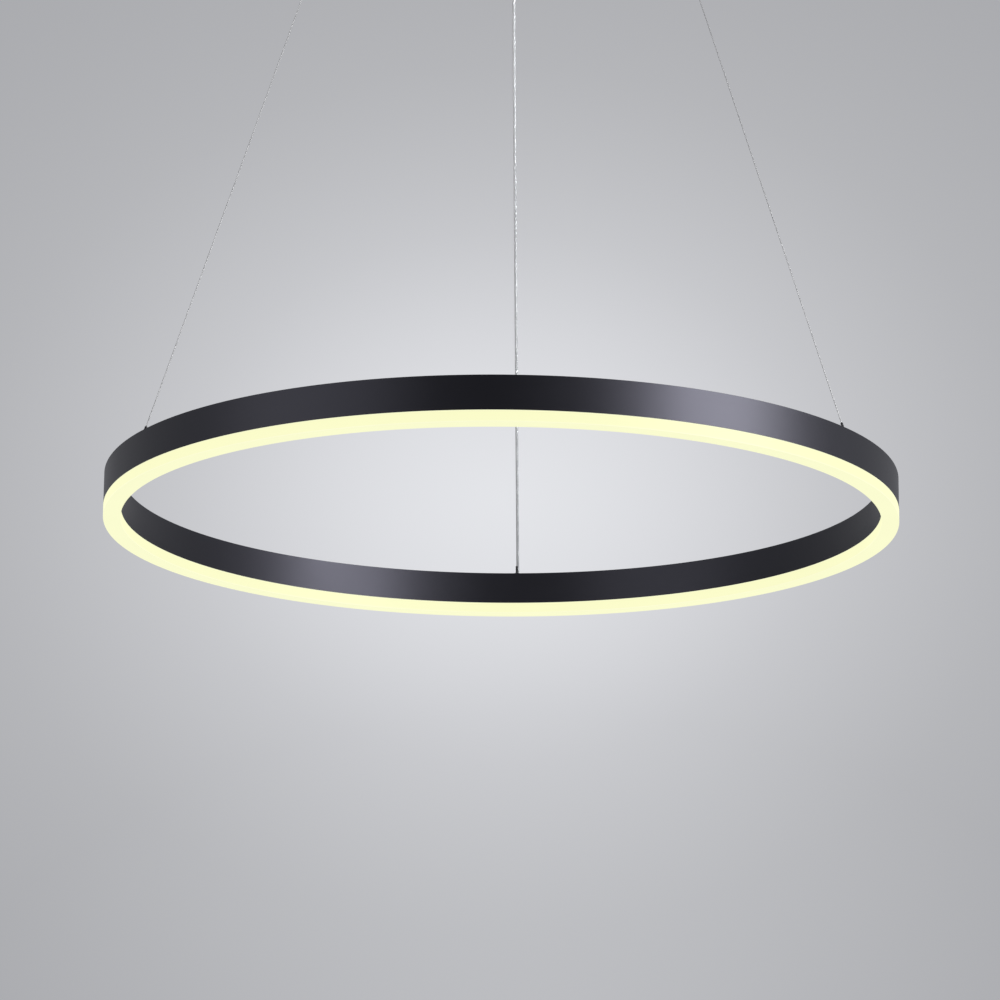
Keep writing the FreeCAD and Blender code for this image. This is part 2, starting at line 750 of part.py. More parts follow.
# Cable grippers: three balls in a cage wedge the wire in a cone until the nozzle is pressed up
gripper_nuts = []
for side, turn in WIRES:
    spot = dict(x=f"exit_circle * cos({turn})", y=f"exit_circle * sin({turn})")
    under = dict(z="-canopy_depth", yaw=turn, **spot)
    barrel_profile = (
        ("nozzle_radius + slip_gap", "-barrel_length"),
        ("barrel_radius - 0.6", "-barrel_length"),
        ("barrel_radius", "0.6 - barrel_length"),
        ("barrel_radius", "0"),
        ("shank_radius", "0"),
        ("shank_radius", "shank_length"),
        ("cage_bore", "shank_length"),
        ("cage_bore", "-cone_top"),
        ("cone_low", "-cone_bottom"),
        ("nozzle_radius + slip_gap", "-cone_bottom"),
    )
    finished(place(turned(f"gripper_barrel_{side}", barrel_profile), **under))

    plunger_profile = (
        ("mouth_radius", "-barrel_length - nozzle_proud"),
        ("nozzle_radius - 0.3", "-barrel_length - nozzle_proud"),
        ("nozzle_radius", "0.3 - barrel_length - nozzle_proud"),
        ("nozzle_radius", "slip_gap - cone_top"),
        ("cage_bore - slip_gap", "slip_gap - cone_top"),
        ("cage_bore - slip_gap", "collar_height - cone_top"),
        ("wire_bore", "collar_height - cone_top"),
        ("wire_bore", "2 - barrel_length - nozzle_proud"),
    )
    plunger_blank = turned(f"plunger_blank_{side}", plunger_profile)
    orbit = "(wire_radius + running_gap + grip_ball_radius)"
    windows = []
    balls = []
    for number, way in enumerate((0, 120, 240), start=1):
        window = cylinder(
            f"window_{side}_{number}",
            "grip_ball_radius + running_gap",
            "nozzle_radius + 1",
            z="-grip_ball_depth",
            yaw=way,
            pitch=90,
        )
        windows.append(window)
        ball = primitive("Sphere", f"grip_ball_{side}_{number}", Radius="grip_ball_radius")
        place(ball, x=f"{orbit} * cos({way})", y=f"{orbit} * sin({way})", z="-grip_ball_depth")
        balls.append(ball)
    finished(place(cut(f"plunger_{side}", plunger_blank, *windows), **under))
    finished(place(group(f"grip_balls_{side}", balls), **under))

    cap_profile = (
        ("cap_bore", "shank_length - cap_thickness"),
        ("cage_bore - running_gap", "shank_length - cap_thickness"),
        ("cage_bore - running_gap", "shank_length"),
        ("shank_radius", "shank_length"),
        ("shank_radius", "shank_length + 1"),
        ("cap_bore", "shank_length + 1"),
    )
    finished(place(turned(f"gripper_cap_{side}", cap_profile), **under))
    gripper_nuts.append(
        hexagon(
            f"gripper_nut_{side}",
            "gripper_nut_flats",
            "gripper_nut_height",
            "shank_radius + running_gap",
            z="canopy_floor",
            yaw=turn,
            **spot,
        )
    )
finished(group("gripper_nuts", gripper_nuts))


def coil_spring(label, x, y):
    """A compression spring between the cage's collar and the cap, its wire swept along half-turn arcs."""
    radius, thick = value("spring_radius"), value("spring_wire")
    low = value("collar_height - cone_top") + thick + 0.05
    high = value("shank_length - cap_thickness") - thick - 0.05
    halves = int(2 * value("spring_turns"))
    step = (high - low) / halves
    edges = []
    for half in range(halves):
        spots = []
        for turn in (half, half + 0.5, half + 1):
            swing = math.pi * turn
            x_spot, y_spot = radius * math.cos(swing), radius * math.sin(swing)
            spots.append(FreeCAD.Vector(x_spot, y_spot, low + step * turn))
        edges.append(Part.Arc(*spots).toShape())
    path = Part.Wire(edges)
    start = edges[0].FirstParameter
    circle = Part.Circle(edges[0].valueAt(start), edges[0].tangentAt(start), thick)
    ring = Part.Wire([circle.toShape()])
    item = doc.addObject("Part::Feature", label)
    item.Shape = path.makePipeShell([ring], True, False)
    place(item, x=x, y=y, z="-canopy_depth")
    print(f"{label}: least gap between turns {2 * step - 2 * thick:.2f}")
    return item


for side, turn in WIRES:
    x, y = f"exit_circle * cos({turn})", f"exit_circle * sin({turn})"
    finished(coil_spring(f"gripper_spring_{side}", x, y))

# Spare ends of the wires, up through the grippers and bent over inside the canopy
tails = []
for side, turn in WIRES:
    out = {"rear": 160, "left": 300, "right": 240}[side]
    x, y = f"exit_circle * cos({turn})", f"exit_circle * sin({turn})"
    tails.append(
        tube(
            f"wire_tail_{side}",
            "wire_radius",
            [
                (x, y, "-mouth_height"),
                (x, y, "shank_length + 10 - canopy_depth"),
                (f"{x} + 22 * cos({out})", f"{y} + 22 * sin({out})", "shank_length + 12 - canopy_depth"),
            ],
        )
    )
finished(group("wire_tails", tails))

# Gland of the power cord
gland_profile = (
    ("cord_radius + 0.7", "-gland_flange_height - gland_nose"),
    ("gland_nose_radius", "-gland_flange_height - gland_nose"),
    ("gland_shank", "-gland_flange_height"),
    ("gland_flange", "-gland_flange_height"),
    ("gland_flange", "0"),
    ("gland_shank", "0"),
    ("gland_shank", "gland_shank_length"),
    ("cord_radius + running_gap", "gland_shank_length"),
    ("cord_radius + running_gap", "2 - gland_flange_height - gland_nose"),
)
finished(place(turned("cord_gland", gland_profile), z="-canopy_depth", **gland_spot))
gland_thread = "gland_shank + running_gap"
gland_nut_seat = dict(z="canopy_floor", **gland_spot)
finished(hexagon("gland_nut", "gland_nut_flats", "gland_nut_height", gland_thread, **gland_nut_seat))

# Driver: a case with a lid on a foam pad, its board and the parts on it
finished(box("driver_pad", "driver_length - 16", "driver_width - 10", "pad_thickness", z="canopy_floor"))
case_height = "(driver_height - driver_wall)"
case_outer = box("case_outer", "driver_length", "driver_width", case_height, z="driver_base")
case_inner = box(
    "case_inner",
    "driver_length - 2 * driver_wall",
    "driver_width - 2 * driver_wall",
    case_height,
    z="driver_base + driver_wall",
)
lead_exits = [
    cylinder(
        f"lead_exit_{side}",
        "driver_hole",
        "4 * driver_wall",
        x=f"{way} * (driver_length / 2 + driver_wall)",
        z="driver_base + 9",
        pitch=-90 * way,
    )
    for side, way in tab_spots
]
finished(cut("driver_case", case_outer, case_inner, *lead_exits))
lid_low = f"driver_base + {case_height}"
lid_plate = box("lid_plate", "driver_length", "driver_width", "driver_wall", z=lid_low)
lid_lip_outer = box(
    "lid_lip_outer",
    "driver_length - 2 * driver_wall - 2 * slip_gap",
    "driver_width - 2 * driver_wall - 2 * slip_gap",
    "lid_lip",
    z=f"{lid_low} - lid_lip",
)
lid_lip_inner = box(
    "lid_lip_inner",
    "driver_length - 4 * driver_wall",
    "driver_width - 4 * driver_wall",
    "lid_lip",
    z=f"{lid_low} - lid_lip",
)
finished(join("driver_lid", lid_plate, cut("lid_rim", lid_lip_outer, lid_lip_inner)))

board_low = "driver_base + driver_wall + board_rise"
posts = [
    box(
        f"board_post_{number}",
        "post_side",
        "post_side",
        "board_rise",
        x=f"{x} * (driver_length / 2 - post_inset)",
        y=f"{y} * (driver_width / 2 - post_inset / 2)",
        z="driver_base + driver_wall",
    )
    for number, (x, y) in enumerate(((-1, -1), (-1, 1), (1, -1), (1, 1)), start=1)
]
finished(group("board_posts", posts))
board_size = ("driver_length - 2 * driver_wall - 2 * board_gap", "driver_width - 2 * driver_wall - 3")
finished(box("driver_board", *board_size, "board_thickness", z=board_low))
parts_low = f"{board_low} + board_thickness"
core_spot = dict(x="driver_length / 20", z=parts_low)
core = box("core", "core_length", "core_width", "parts_height", **core_spot)
coil = box("coil", "core_length - 6", "core_width + 4", "parts_height - 3", **core_spot)
finished(join("driver_transformer", core, coil))
capacitors = [
    cylinder(
        f"capacitor_{number}",
        radius,
        "parts_height",
        x=f"{along} * driver_length",
        y=f"{across} * driver_width",
        z=parts_low,
    )
    for number, (along, across, radius) in enumerate(
        (
            (-0.16, 0, "bulk_radius"),
            (-0.29, 0.15, "bulk_radius - 1.8"),
            (0.23, -0.13, "bulk_radius - 1"),
            (0.23, 0.15, "bulk_radius - 1"),
        ),
        start=1,
    )
]
finished(group("driver_capacitors", capacitors))
ring_core = primitive("Torus", "driver_choke", Radius1="choke_radius", Radius2="choke_section")
choke_spot = dict(x="-0.29 * driver_length", y="-0.18 * driver_width", z=f"{parts_low} + choke_section")
finished(place(ring_core, **choke_spot))

# Terminal block for the supply, with its brass barrels, clamp screws and fixing screw
block_low = "-bracket_sheet - block_height"
pole_axis = "-bracket_sheet - block_height / 2"
block_size = ("block_length", "block_width", "block_height")
block_blank = box("block_blank", *block_size, x="block_place", z=block_low)
block_cuts = []
barrels = []
clamp_screws = []
for number, step in enumerate((-1, 0, 1), start=1):
    pole = f"block_place + {step} * pole_pitch"
    lying = dict(x=pole, z=pole_axis, roll=-90)
    edge = "-block_width / 2"
    barrel_way = "barrel_outer + running_gap"
    pole_length = "block_width + 2"
    block_cuts.append(cylinder(f"pole_hole_{number}", barrel_way, pole_length, y=f"{edge} - 1", **lying))
    barrel = cylinder(f"pole_{number}", "barrel_outer", "block_width - 2", y=f"{edge} + 1", **lying)
    bore = cylinder(f"pole_bore_{number}", "barrel_inner", "block_width", y=edge, **lying)
    thread_cuts = []
    for end, way in (("a", -1), ("b", 1)):
        spot = dict(x=pole, y=f"{way} * block_width / 4")
        name = f"clamp_{number}_{end}"
        way_radius, thread_radius = "clamp_screw_radius + 0.2", "clamp_screw_radius + running_gap"
        screw_length = "block_height / 2 - 0.5 - lead_radius - running_gap"
        block_cuts.append(
            cylinder(f"{name}_way", way_radius, "block_height / 2 + 1", z=f"{block_low} - 1", **spot)
        )
        thread_cuts.append(cylinder(f"{name}_thread", thread_radius, "block_height / 2", z=block_low, **spot))
        clamp_screws.append(
            cylinder(f"{name}_screw", "clamp_screw_radius", screw_length, z=f"{block_low} + 0.5", **spot)
        )
    barrels.append(cut(f"pole_barrel_{number}", barrel, bore, *thread_cuts))
block_screw_spot = dict(x="block_place + pole_pitch / 2")
block_screw_spot["z"] = f"{block_low} - 1"
screw_way, head_way = "block_screw_radius + slip_gap", "2 * block_screw_radius"
block_cuts.append(cylinder("block_screw_way", screw_way, "block_height + 2", **block_screw_spot))
block_cuts.append(cylinder("block_screw_recess", head_way, "block_screw_radius + 1", **block_screw_spot))
finished(cut("terminal_block", block_blank, *block_cuts))
block_screw_profile = (
    ("0", f"{block_low}"),
    ("2 * block_screw_radius - 0.2", f"{block_low}"),
    ("2 * block_screw_radius - 0.2", f"{block_low} + block_screw_radius"),
    ("block_screw_radius", f"{block_low} + block_screw_radius"),
    ("block_screw_radius", "-0.1"),
    ("0", "-0.1"),
)
finished(place(turned("block_screw", block_screw_profile), x=block_screw_spot["x"]))
finished(group("terminal_barrels", barrels))
finished(group("terminal_screws", clamp_screws))

earth_profile = (
    ("0", "-bracket_sheet - 4.4"),
    ("3.5", "-bracket_sheet - 4.4"),
    ("3.5", "-bracket_sheet - 2.2"),
    ("side_screw_radius", "-bracket_sheet - 2.2"),
    ("side_screw_radius", "-0.1"),
    ("0", "-0.1"),
)
finished(place(turned("earth_screw", earth_profile), x="-earth_place"))
lug_axis = "-bracket_sheet - 1.8"
lug_ring = cylinder("lug_ring", 4, 1, x="-earth_place", z="-bracket_sheet - 2.2")
lug_tail = box("lug_tail", 9, 4, 1, x="4 - earth_place", z="-bracket_sheet - 2.2")
lug_barrel = cylinder("lug_barrel", "lead_radius + 0.6", 7, x="7 - earth_place", z=lug_axis, pitch=90)
lug_bore = cylinder("lug_bore", "side_screw_radius + slip_gap", 3, x="-earth_place", z="-bracket_sheet - 3")
lug_eye = cylinder("lug_eye", "lead_radius + running_gap", 7, x="9 - earth_place", z=lug_axis, pitch=90)
lug_blank = join("lug_blank", lug_ring, lug_tail, lug_barrel)
finished(cut("earth_lug", lug_blank, lug_bore, lug_eye))

# Leads inside the canopy, from the terminal block to the earth lug and to the driver
lead_end = "-block_width / 2 + 6"
earth_pole = "block_place - pole_pitch"
finished(
    tube(
        "earth_lead",
        "lead_radius",
        [
            (earth_pole, lead_end, pole_axis),
            (earth_pole, "-block_width / 2 - 9", pole_axis),
            ("18 - earth_place", "-block_width / 2 - 9", pole_axis),
            ("18 - earth_place", "0", lug_axis),
            ("9 - earth_place", "0", lug_axis),
        ],
    )
)
board_top = f"{board_low} + board_thickness"
lead_level = "driver_base + 9"
mains = []
for number, step in enumerate((0, 1), start=1):
    pole = f"block_place + {step} * pole_pitch"
    aside = f"-driver_width / 2 - 5 - {step} * 3.5"
    beyond = f"-driver_length / 2 - 12 - {step} * 4"
    side = 1.15 if step else -1.15
    mains.append(
        tube(
            f"mains_lead_{number}",
            "lead_radius",
            [
                (pole, lead_end, pole_axis),
                (pole, aside, pole_axis),
                (beyond, aside, lead_level),
                (beyond, side, lead_level),
                ("8 - driver_length / 2", side, lead_level),
                ("8 - driver_length / 2", side, board_top),
            ],
        )
    )
finished(group("mains_leads", mains))

# Output lead, the plug and socket that join it to the cord, and the cord's inner end
plug_x = "driver_length / 2 - 8"
plug_y = "driver_width / 2 + 38"
plug_z = "driver_base + 6"


def along(step):
    """The point at the given step along the plug's own line."""
    return (f"{plug_x} + ({step}) * cos(plug_turn)", f"{plug_y} + ({step}) * sin(plug_turn)", plug_z)


def connector(label, start, length, radius, mouth):
    """One half of the plug and socket: a round shell on the plug's line with a blind bore for its lead."""
    shell = cylinder(label + "_shell", radius, length, z=start)
    bore = cylinder(label + "_bore", "cord_radius + running_gap", "plug_bore", z=mouth)
    x, y, z = along("0")
    return place(cut(label, shell, bore), x=x, y=y, z=z, yaw="plug_turn", pitch=90)


finished(
    tube(
        "output_lead",
        "cord_radius",
        [
            ("driver_length / 2 - 8", "0", board_top),
            ("driver_length / 2 - 8", "0", lead_level),
            ("driver_length / 2 + 16", "0", lead_level),
            along("-20"),
            along("0"),
        ],
    )
)
finished(connector("plug_socket", "-plug_bore", "socket_length", "socket_radius", "-plug_bore"))
plug_start = "(socket_length - plug_bore)"
plug_mouth = f"{plug_start} + plug_length - plug_bore"
finished(connector("plug", plug_start, "plug_length", "plug_radius", plug_mouth))
finished(
    tube(
        "cord_inner",
        "cord_radius",
        [
            along(plug_mouth),
            along(f"{plug_start} + plug_length + 8"),
            ("gland_side + 14", "gland_place - 12", "-16"),
            ("gland_side", "gland_place", "-14"),
            cord_head_point,
        ],
    )
)

doc.recompute()

# Checks, then one file for each piece
for item in doc.Objects:
    if "Invalid" in item.State or "Error" in item.State:
        raise RuntimeError(f"{item.Label} failed: {item.State}")
for item in nodes:
    if item.Shape.isNull() or not item.Shape.isValid() or item.Shape.Volume <= 0:
        raise RuntimeError(f"{item.Label} has no valid solid")

os.makedirs("parts", exist_ok=True)
for item in nodes:
    item.Shape.exportStep(f"parts/{item.Label}.step")
print(len(nodes), "pieces written")
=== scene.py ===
import bmesh
import bpy
import math
from mathutils import Matrix, Vector


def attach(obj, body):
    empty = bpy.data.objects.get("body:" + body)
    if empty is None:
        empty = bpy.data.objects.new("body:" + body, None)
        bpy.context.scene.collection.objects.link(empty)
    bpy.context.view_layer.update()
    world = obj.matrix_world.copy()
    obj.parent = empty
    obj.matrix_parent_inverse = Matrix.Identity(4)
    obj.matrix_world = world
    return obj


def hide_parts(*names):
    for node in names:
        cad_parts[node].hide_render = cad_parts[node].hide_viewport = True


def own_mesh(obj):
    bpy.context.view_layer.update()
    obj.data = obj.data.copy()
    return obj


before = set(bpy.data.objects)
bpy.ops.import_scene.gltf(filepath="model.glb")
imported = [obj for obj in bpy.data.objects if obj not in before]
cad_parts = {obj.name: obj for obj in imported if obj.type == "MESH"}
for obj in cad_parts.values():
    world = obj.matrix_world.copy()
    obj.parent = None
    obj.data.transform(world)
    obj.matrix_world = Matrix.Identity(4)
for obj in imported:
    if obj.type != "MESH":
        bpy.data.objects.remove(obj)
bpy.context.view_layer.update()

# Camera: it stands below the ring and looks up at it with a long lens, a little to the left of the
# rear wire. The place and lens are those at which an 800 mm ring lines up with the photograph.
ring_top = -0.978
lens_turn, lens_rise = math.radians(2.62), math.radians(14.701)
lens_away = 4.1418
aim_down, aim_aside, aim_roll = math.radians(0.209), math.radians(0.017), math.radians(0.409)
lens = bpy.data.cameras.new("camera")
lens.sensor_width = 36
lens.lens = 147.39
lens.clip_end = 100
camera = bpy.data.objects.new("camera", lens)
bpy.context.collection.objects.link(camera)
stand = Vector((0, -lens_away * math.cos(lens_rise), ring_top - lens_away * math.sin(lens_rise)))
camera.matrix_world = (
    Matrix.Rotation(lens_turn, 4, "Z")
    @ Matrix.Translation(stand)
    @ Matrix.Rotation(math.radians(90) + lens_rise - aim_down, 4, "X")
    @ Matrix.Rotation(aim_aside, 4, "Y")
    @ Matrix.Rotation(aim_roll, 4, "Z")
)
bpy.context.scene.camera = camera


# Casing: an aluminium channel, extruded, bent to a ring and powder coated in satin black. Its two
# ends meet in a butt seam beside the rear wire, and four small holes by it lead to set screws.
def new_finish(name, constants):
    """A material with these constants on its shader, and its node tree and shader to go on with."""
    finish = bpy.data.materials.new(name)
    finish.use_nodes = True
    shader = finish.node_tree.nodes["Principled BSDF"]
    for socket, value in constants.items():
        shader.inputs[socket].default_value = value
    return finish, finish.node_tree, shader


def soft_noise(tree, scale, detail=2):
    """Cloudy noise over a piece's own coordinates."""
    place = tree.nodes.new("ShaderNodeTexCoord")
    cloud = tree.nodes.new("ShaderNodeTexNoise")
    cloud.inputs["Scale"].default_value = scale
    cloud.inputs["Detail"].default_value = detail
    tree.links.new(place.outputs["Object"], cloud.inputs["Vector"])
    return cloud.outputs["Fac"]


def colours_by(tree, source, stops, blend="LINEAR"):
    """The colour for the source's value, between stops of (position, colour)."""
    ramp = tree.nodes.new("ShaderNodeValToRGB")
    ramp.color_ramp.interpolation = blend
    ends = ramp.color_ramp.elements
    ends[0].position, ends[0].color = stops[0][0], (*stops[0][1], 1)
    ends[1].position, ends[1].color = stops[-1][0], (*stops[-1][1], 1)
    for position, colour in stops[1:-1]:
        ramp.color_ramp.elements.new(position).color = (*colour, 1)
    tree.links.new(source, ramp.inputs["Fac"])
    return ramp.outputs["Color"]


def spread_over(tree, source, low, high, first=0.3, last=0.7):
    """The source's values from first to last, spread over low to high."""
    span = tree.nodes.new("ShaderNodeMapRange")
    for socket, value in (("From Min", first), ("From Max", last), ("To Min", low), ("To Max", high)):
        span.inputs[socket].default_value = value
    tree.links.new(source, span.inputs["Value"])
    return span.outputs["Result"]


def relief_by(tree, source, strength, depth):
    """Fine relief by the source's value, its depth in metres."""
    bump = tree.nodes.new("ShaderNodeBump")
    bump.inputs["Strength"].default_value = strength
    bump.inputs["Distance"].default_value = depth
    tree.links.new(source, bump.inputs["Height"])
    return bump.outputs["Normal"]


def clouded(name, constants, tones, gloss, cloud, grain):
    """A finish whose colour and roughness drift together with a soft cloud of (scale, detail), over a
    fine grain of (scale, strength, depth)."""
    finish, tree, shader = new_finish(name, constants)
    drift = soft_noise(tree, *cloud)
    grain_scale, strength, depth = grain
    relief = relief_by(tree, soft_noise(tree, grain_scale), strength, depth)
    tree.links.new(colours_by(tree, drift, tones), shader.inputs["Base Color"])
    tree.links.new(spread_over(tree, drift, *gloss), shader.inputs["Roughness"])
    tree.links.new(relief, shader.inputs["Normal"])
    return finish


def powder_coat(name, deep, pale, roughness, sheen_patch):
    """Satin paint: nearly even colour, the fine pebble of baked powder and slow drifts in its gloss."""
    sheen = {"Specular IOR Level": 0.5, "Specular Tint": (0.82, 0.81, 1, 1)}
    gloss = (roughness - sheen_patch, roughness + sheen_patch)
    tones = [(0.35, deep), (0.7, pale)]
    return clouded(name, sheen, tones, gloss, cloud=(9, 4), grain=(1400, 0.12, 0.0002))


def finish_piece(mesh_maker, name, body, materials, nodes):
    """Makes the object of a finished mesh, rides it on its body and lets it stand for its CAD nodes."""
    mesh = bpy.data.meshes.new(name)
    mesh_maker.to_mesh(mesh)
    mesh_maker.free()
    for polygon in mesh.polygons:
        polygon.use_smooth = True
    mesh.set_sharp_from_angle(angle=math.radians(38))
    for material in materials:
        mesh.materials.append(material)
    piece = bpy.data.objects.new(name, mesh)
    bpy.context.collection.objects.link(piece)
    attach(piece, body)
    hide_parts(*nodes)
    return piece


def keep_flats_flat(piece):
    """Lets wide faces keep their own shading where they run into narrow rounded edges."""
    weigh = piece.modifiers.new("flats", "WEIGHTED_NORMAL")
    weigh.weight = 80
    weigh.keep_sharp = True


def bevelled(work, edges, offset, segments, clamped=False):
    """Rounds edges of a mesh by an offset in millimetres."""
    bmesh.ops.bevel(
        work, geom=edges, offset=offset / 1000, offset_type="OFFSET", affect="EDGES",
        segments=segments, profile=0.5, material=-1, clamp_overlap=clamped,
    )


def sharp_edges(work):
    """The edges of a mesh that turn by more than about 34 degrees."""
    return [e for e in work.edges if len(e.link_faces) == 2 and e.calc_face_angle(0) > 0.6]


def turned(outlines, steps, sweep=2 * math.pi, start=0.0, rounding=0.0):
    """A bmesh turned about the Z axis from outlines of (radius, height) in millimetres, its sharp
    corners broken by the rounding. An outline that reaches the axis is left open there."""
    work = bmesh.new()
    closed = sweep >= 2 * math.pi
    for outline in outlines:
        corners = [work.verts.new((r / 1000, 0, z / 1000)) for r, z in outline]
        loop = list(zip(corners, corners[1:]))
        if outline[0][0] > 0 or outline[-1][0] > 0:
            loop.append((corners[-1], corners[0]))
        rims = [work.edges.new(pair) for pair in loop]
        bmesh.ops.rotate(work, verts=corners, cent=(0, 0, 0), matrix=Matrix.Rotation(start, 3, "Z"))
        bmesh.ops.spin(
            work, geom=corners + rims, cent=(0, 0, 0), axis=(0, 0, 1), dvec=(0, 0, 0),
            angle=sweep, steps=steps, use_merge=closed, use_duplicate=False,
        )
    bmesh.ops.remove_doubles(work, verts=work.verts, dist=1e-7)
    if not closed:
        bmesh.ops.triangle_fill(work, edges=[e for e in work.edges if e.is_boundary], use_beauty=True)
    bmesh.ops.recalc_face_normals(work, faces=work.faces)
    if rounding:
        bevelled(work, sharp_edges(work), offset=rounding, segments=2, clamped=True)
    return work


def rod(radius, length, foot, direction=(0, 0, 1), sides=32):
    """A plain round cutter that starts at foot, in metres."""
    work = bmesh.new()
    bmesh.ops.create_cone(
        work, cap_ends=True, cap_tris=False, segments=sides, radius1=radius, radius2=radius, depth=length
    )
    bmesh.ops.translate(work, verts=work.verts, vec=(0, 0, length / 2))
    lean = Vector(direction).to_track_quat("Z", "Y").to_matrix().to_4x4()
    bmesh.ops.transform(work, matrix=Matrix.Translation(foot) @ lean, verts=work.verts)
    return work


def gathered(works):
    """Several finished meshes as one."""
    together = bmesh.new()
    for work in works:
        mesh = bpy.data.meshes.new("gathered")
        work.to_mesh(mesh)
        work.free()
        together.from_mesh(mesh)
        bpy.data.meshes.remove(mesh)
    return together


def carved(work, cutters, operation="DIFFERENCE"):
    """Drills or trims a mesh with the cutters, which don't touch each other."""
    holders = []
    for part in (work, gathered(cutters)):
        mesh = bpy.data.meshes.new("carving")
        part.to_mesh(mesh)
        part.free()
        holder = bpy.data.objects.new("carving", mesh)
        bpy.context.collection.objects.link(holder)
        holders.append(holder)
    drill = holders[0].modifiers.new("drill", "BOOLEAN")
    drill.operation = operation
    drill.solver = "EXACT"
    drill.object = holders[1]
    bpy.context.view_layer.update()
    shaped = holders[0].evaluated_get(bpy.context.evaluated_depsgraph_get())
    result = bmesh.new()
    mesh = bpy.data.meshes.new_from_object(shaped)
    result.from_mesh(mesh)
    bpy.data.meshes.remove(mesh)
    for holder in holders:
        data = holder.data
        bpy.data.objects.remove(holder)
        bpy.data.meshes.remove(data)
    return result


satin_black = powder_coat(
    "satin_black", (0.0018, 0.0019, 0.0025), (0.0026, 0.0028, 0.0036), roughness=0.4, sheen_patch=0.02
)
casing_outline = [
    (400, 0), (400, -33.5), (398.5, -33.5), (398.5, -29.5), (399.1, -29.5), (399.1, -27.1),
    (398.5, -27.1), (398.5, -13.5), (384, -13.5), (384, -27.1), (383.4, -27.1), (383.4, -29.5),
    (384, -29.5), (384, -33.5), (382.5, -33.5), (382.5, 0),
]
chamber_outline = [(398.5, -1.5), (398.5, -12), (384, -12), (384, -1.5)]
ring_mid = 0.39125
seam = math.radians(90.64)
seam_gap = 0.0003 / ring_mid
casing = turned(
    [casing_outline, chamber_outline], steps=360, sweep=2 * math.pi - seam_gap, start=seam + seam_gap / 2,
    rounding=0.25,
)
bmesh.ops.translate(casing, verts=casing.verts, vec=(0, 0, ring_top))
tool_hole_reach, tool_hole_pitch = 0.38775, 0.018
tool_holes = []
for step in (-1.5, -0.5, 0.5, 1.5):
    turn = seam + step * tool_hole_pitch / ring_mid
    spot = (tool_hole_reach * math.cos(turn), tool_hole_reach * math.sin(turn), ring_top - 0.003)
    tool_holes.append(rod(radius=0.0016, length=0.006, foot=spot))
casing = carved(casing, tool_holes)
casing = finish_piece(casing, "casing", "ring", [satin_black], ["ring_casing"])
keep_flats_flat(casing)


# Joint plate: a curved steel bar inside the casing's top chamber bridges the seam. Four set screws
# in it are tightened through the small holes in the casing's top, which jams the two ends together.
def plated(name, deep, pale, roughness, grain_scale, grain_depth):
    """Bare or plated metal: a faint cloud in its colour and the fine grain of its finish."""
    tones, gloss = [(0.35, deep), (0.65, pale)], (roughness * 0.9, roughness * 1.12)
    return clouded(
        name, {"Metallic": 1}, tones, gloss, cloud=(140, 5), grain=(grain_scale, 0.3, grain_depth)
    )


def dress(material, *names):
    """Gives CAD nodes that keep their shape their finish."""
    for name in names:
        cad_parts[name].material_slots[0].material = material


zinc_steel = plated(
    "zinc_steel", (0.55, 0.56, 0.58), (0.63, 0.64, 0.66),
    roughness=0.3, grain_scale=2200, grain_depth=0.00003,
)
dress(zinc_steel, "joint_plate", "joint_set_screws")


# Light strip: a white flexible board stuck under the casing's shelf, with 144 light chips of clear
# resin over yellow phosphor. The diffuser hides both.
def moulded(name, deep, pale, roughness, cloud_scale, grain_scale, grain_depth):
    """Moulded or sleeved plastic: a nearly even colour with the fine texture of its tool."""
    tones, gloss = [(0.35, deep), (0.65, pale)], (roughness - 0.06, roughness + 0.06)
    return clouded(name, {}, tones, gloss, cloud=(cloud_scale, 3), grain=(grain_scale, 0.3, grain_depth))


strip_white = moulded(
    "strip_white", (0.78, 0.78, 0.76), (0.86, 0.86, 0.84),
    roughness=0.5, cloud_scale=60, grain_scale=900, grain_depth=0.00003,
)
phosphor = moulded(
    "phosphor", (0.85, 0.62, 0.1), (0.95, 0.75, 0.2),
    roughness=0.3, cloud_scale=300, grain_scale=1500, grain_depth=0.00002,
)
dress(strip_white, "light_strip")
dress(phosphor, "light_chips")


# Diffuser: a trough of milky acrylic that clips into the casing and glows all over, a little paler
# along its two lower corners and next to the metal.
def blended(tree, kind, share, first, second):
    """Two colours blended. The share and both colours may be constants or come from other nodes."""
    mix = tree.nodes.new("ShaderNodeMix")
    mix.data_type = "RGBA"
    mix.blend_type = kind
    for socket, value in (("Factor", share), ("A", first), ("B", second)):
        if isinstance(value, bpy.types.NodeSocket):
            tree.links.new(value, mix.inputs[socket])
        else:
            mix.inputs[socket].default_value = value
    return mix.outputs["Result"]


glow, glow_tree, glow_shader = new_finish("milky_acrylic", {
    "Base Color": (0.02, 0.02, 0.014, 1), "Roughness": 0.42, "Specular IOR Level": 0.1,
    "Emission Strength": 1,
})
glow_place = glow_tree.nodes.new("ShaderNodeTexCoord")
glow_split = glow_tree.nodes.new("ShaderNodeSeparateXYZ")
glow_tree.links.new(glow_place.outputs["Object"], glow_split.inputs["Vector"])
trough_low, trough_high = ring_top - 0.045, ring_top - 0.0335
glow_height = spread_over(
    glow_tree, glow_split.outputs["Z"], low=0, high=1, first=trough_low, last=trough_high
)
glow_stops = [
    (0, (0.93, 0.94, 0.6)), (0.03, (0.97, 0.97, 0.68)), (0.12, (0.955, 0.96, 0.59)),
    (0.86, (0.95, 0.955, 0.575)), (1, (0.92, 0.93, 0.63)),
]
glow_tone = colours_by(glow_tree, glow_height, glow_stops)
glow_drift = spread_over(glow_tree, soft_noise(glow_tree, scale=14), low=0.985, high=1)
glow_colour = blended(glow_tree, "MULTIPLY", 1, glow_tone, glow_drift)
glow_tree.links.new(glow_colour, glow_shader.inputs["Emission Color"])
glow_frost = relief_by(glow_tree, soft_noise(glow_tree, scale=2600), strength=0.05, depth=0.0001)
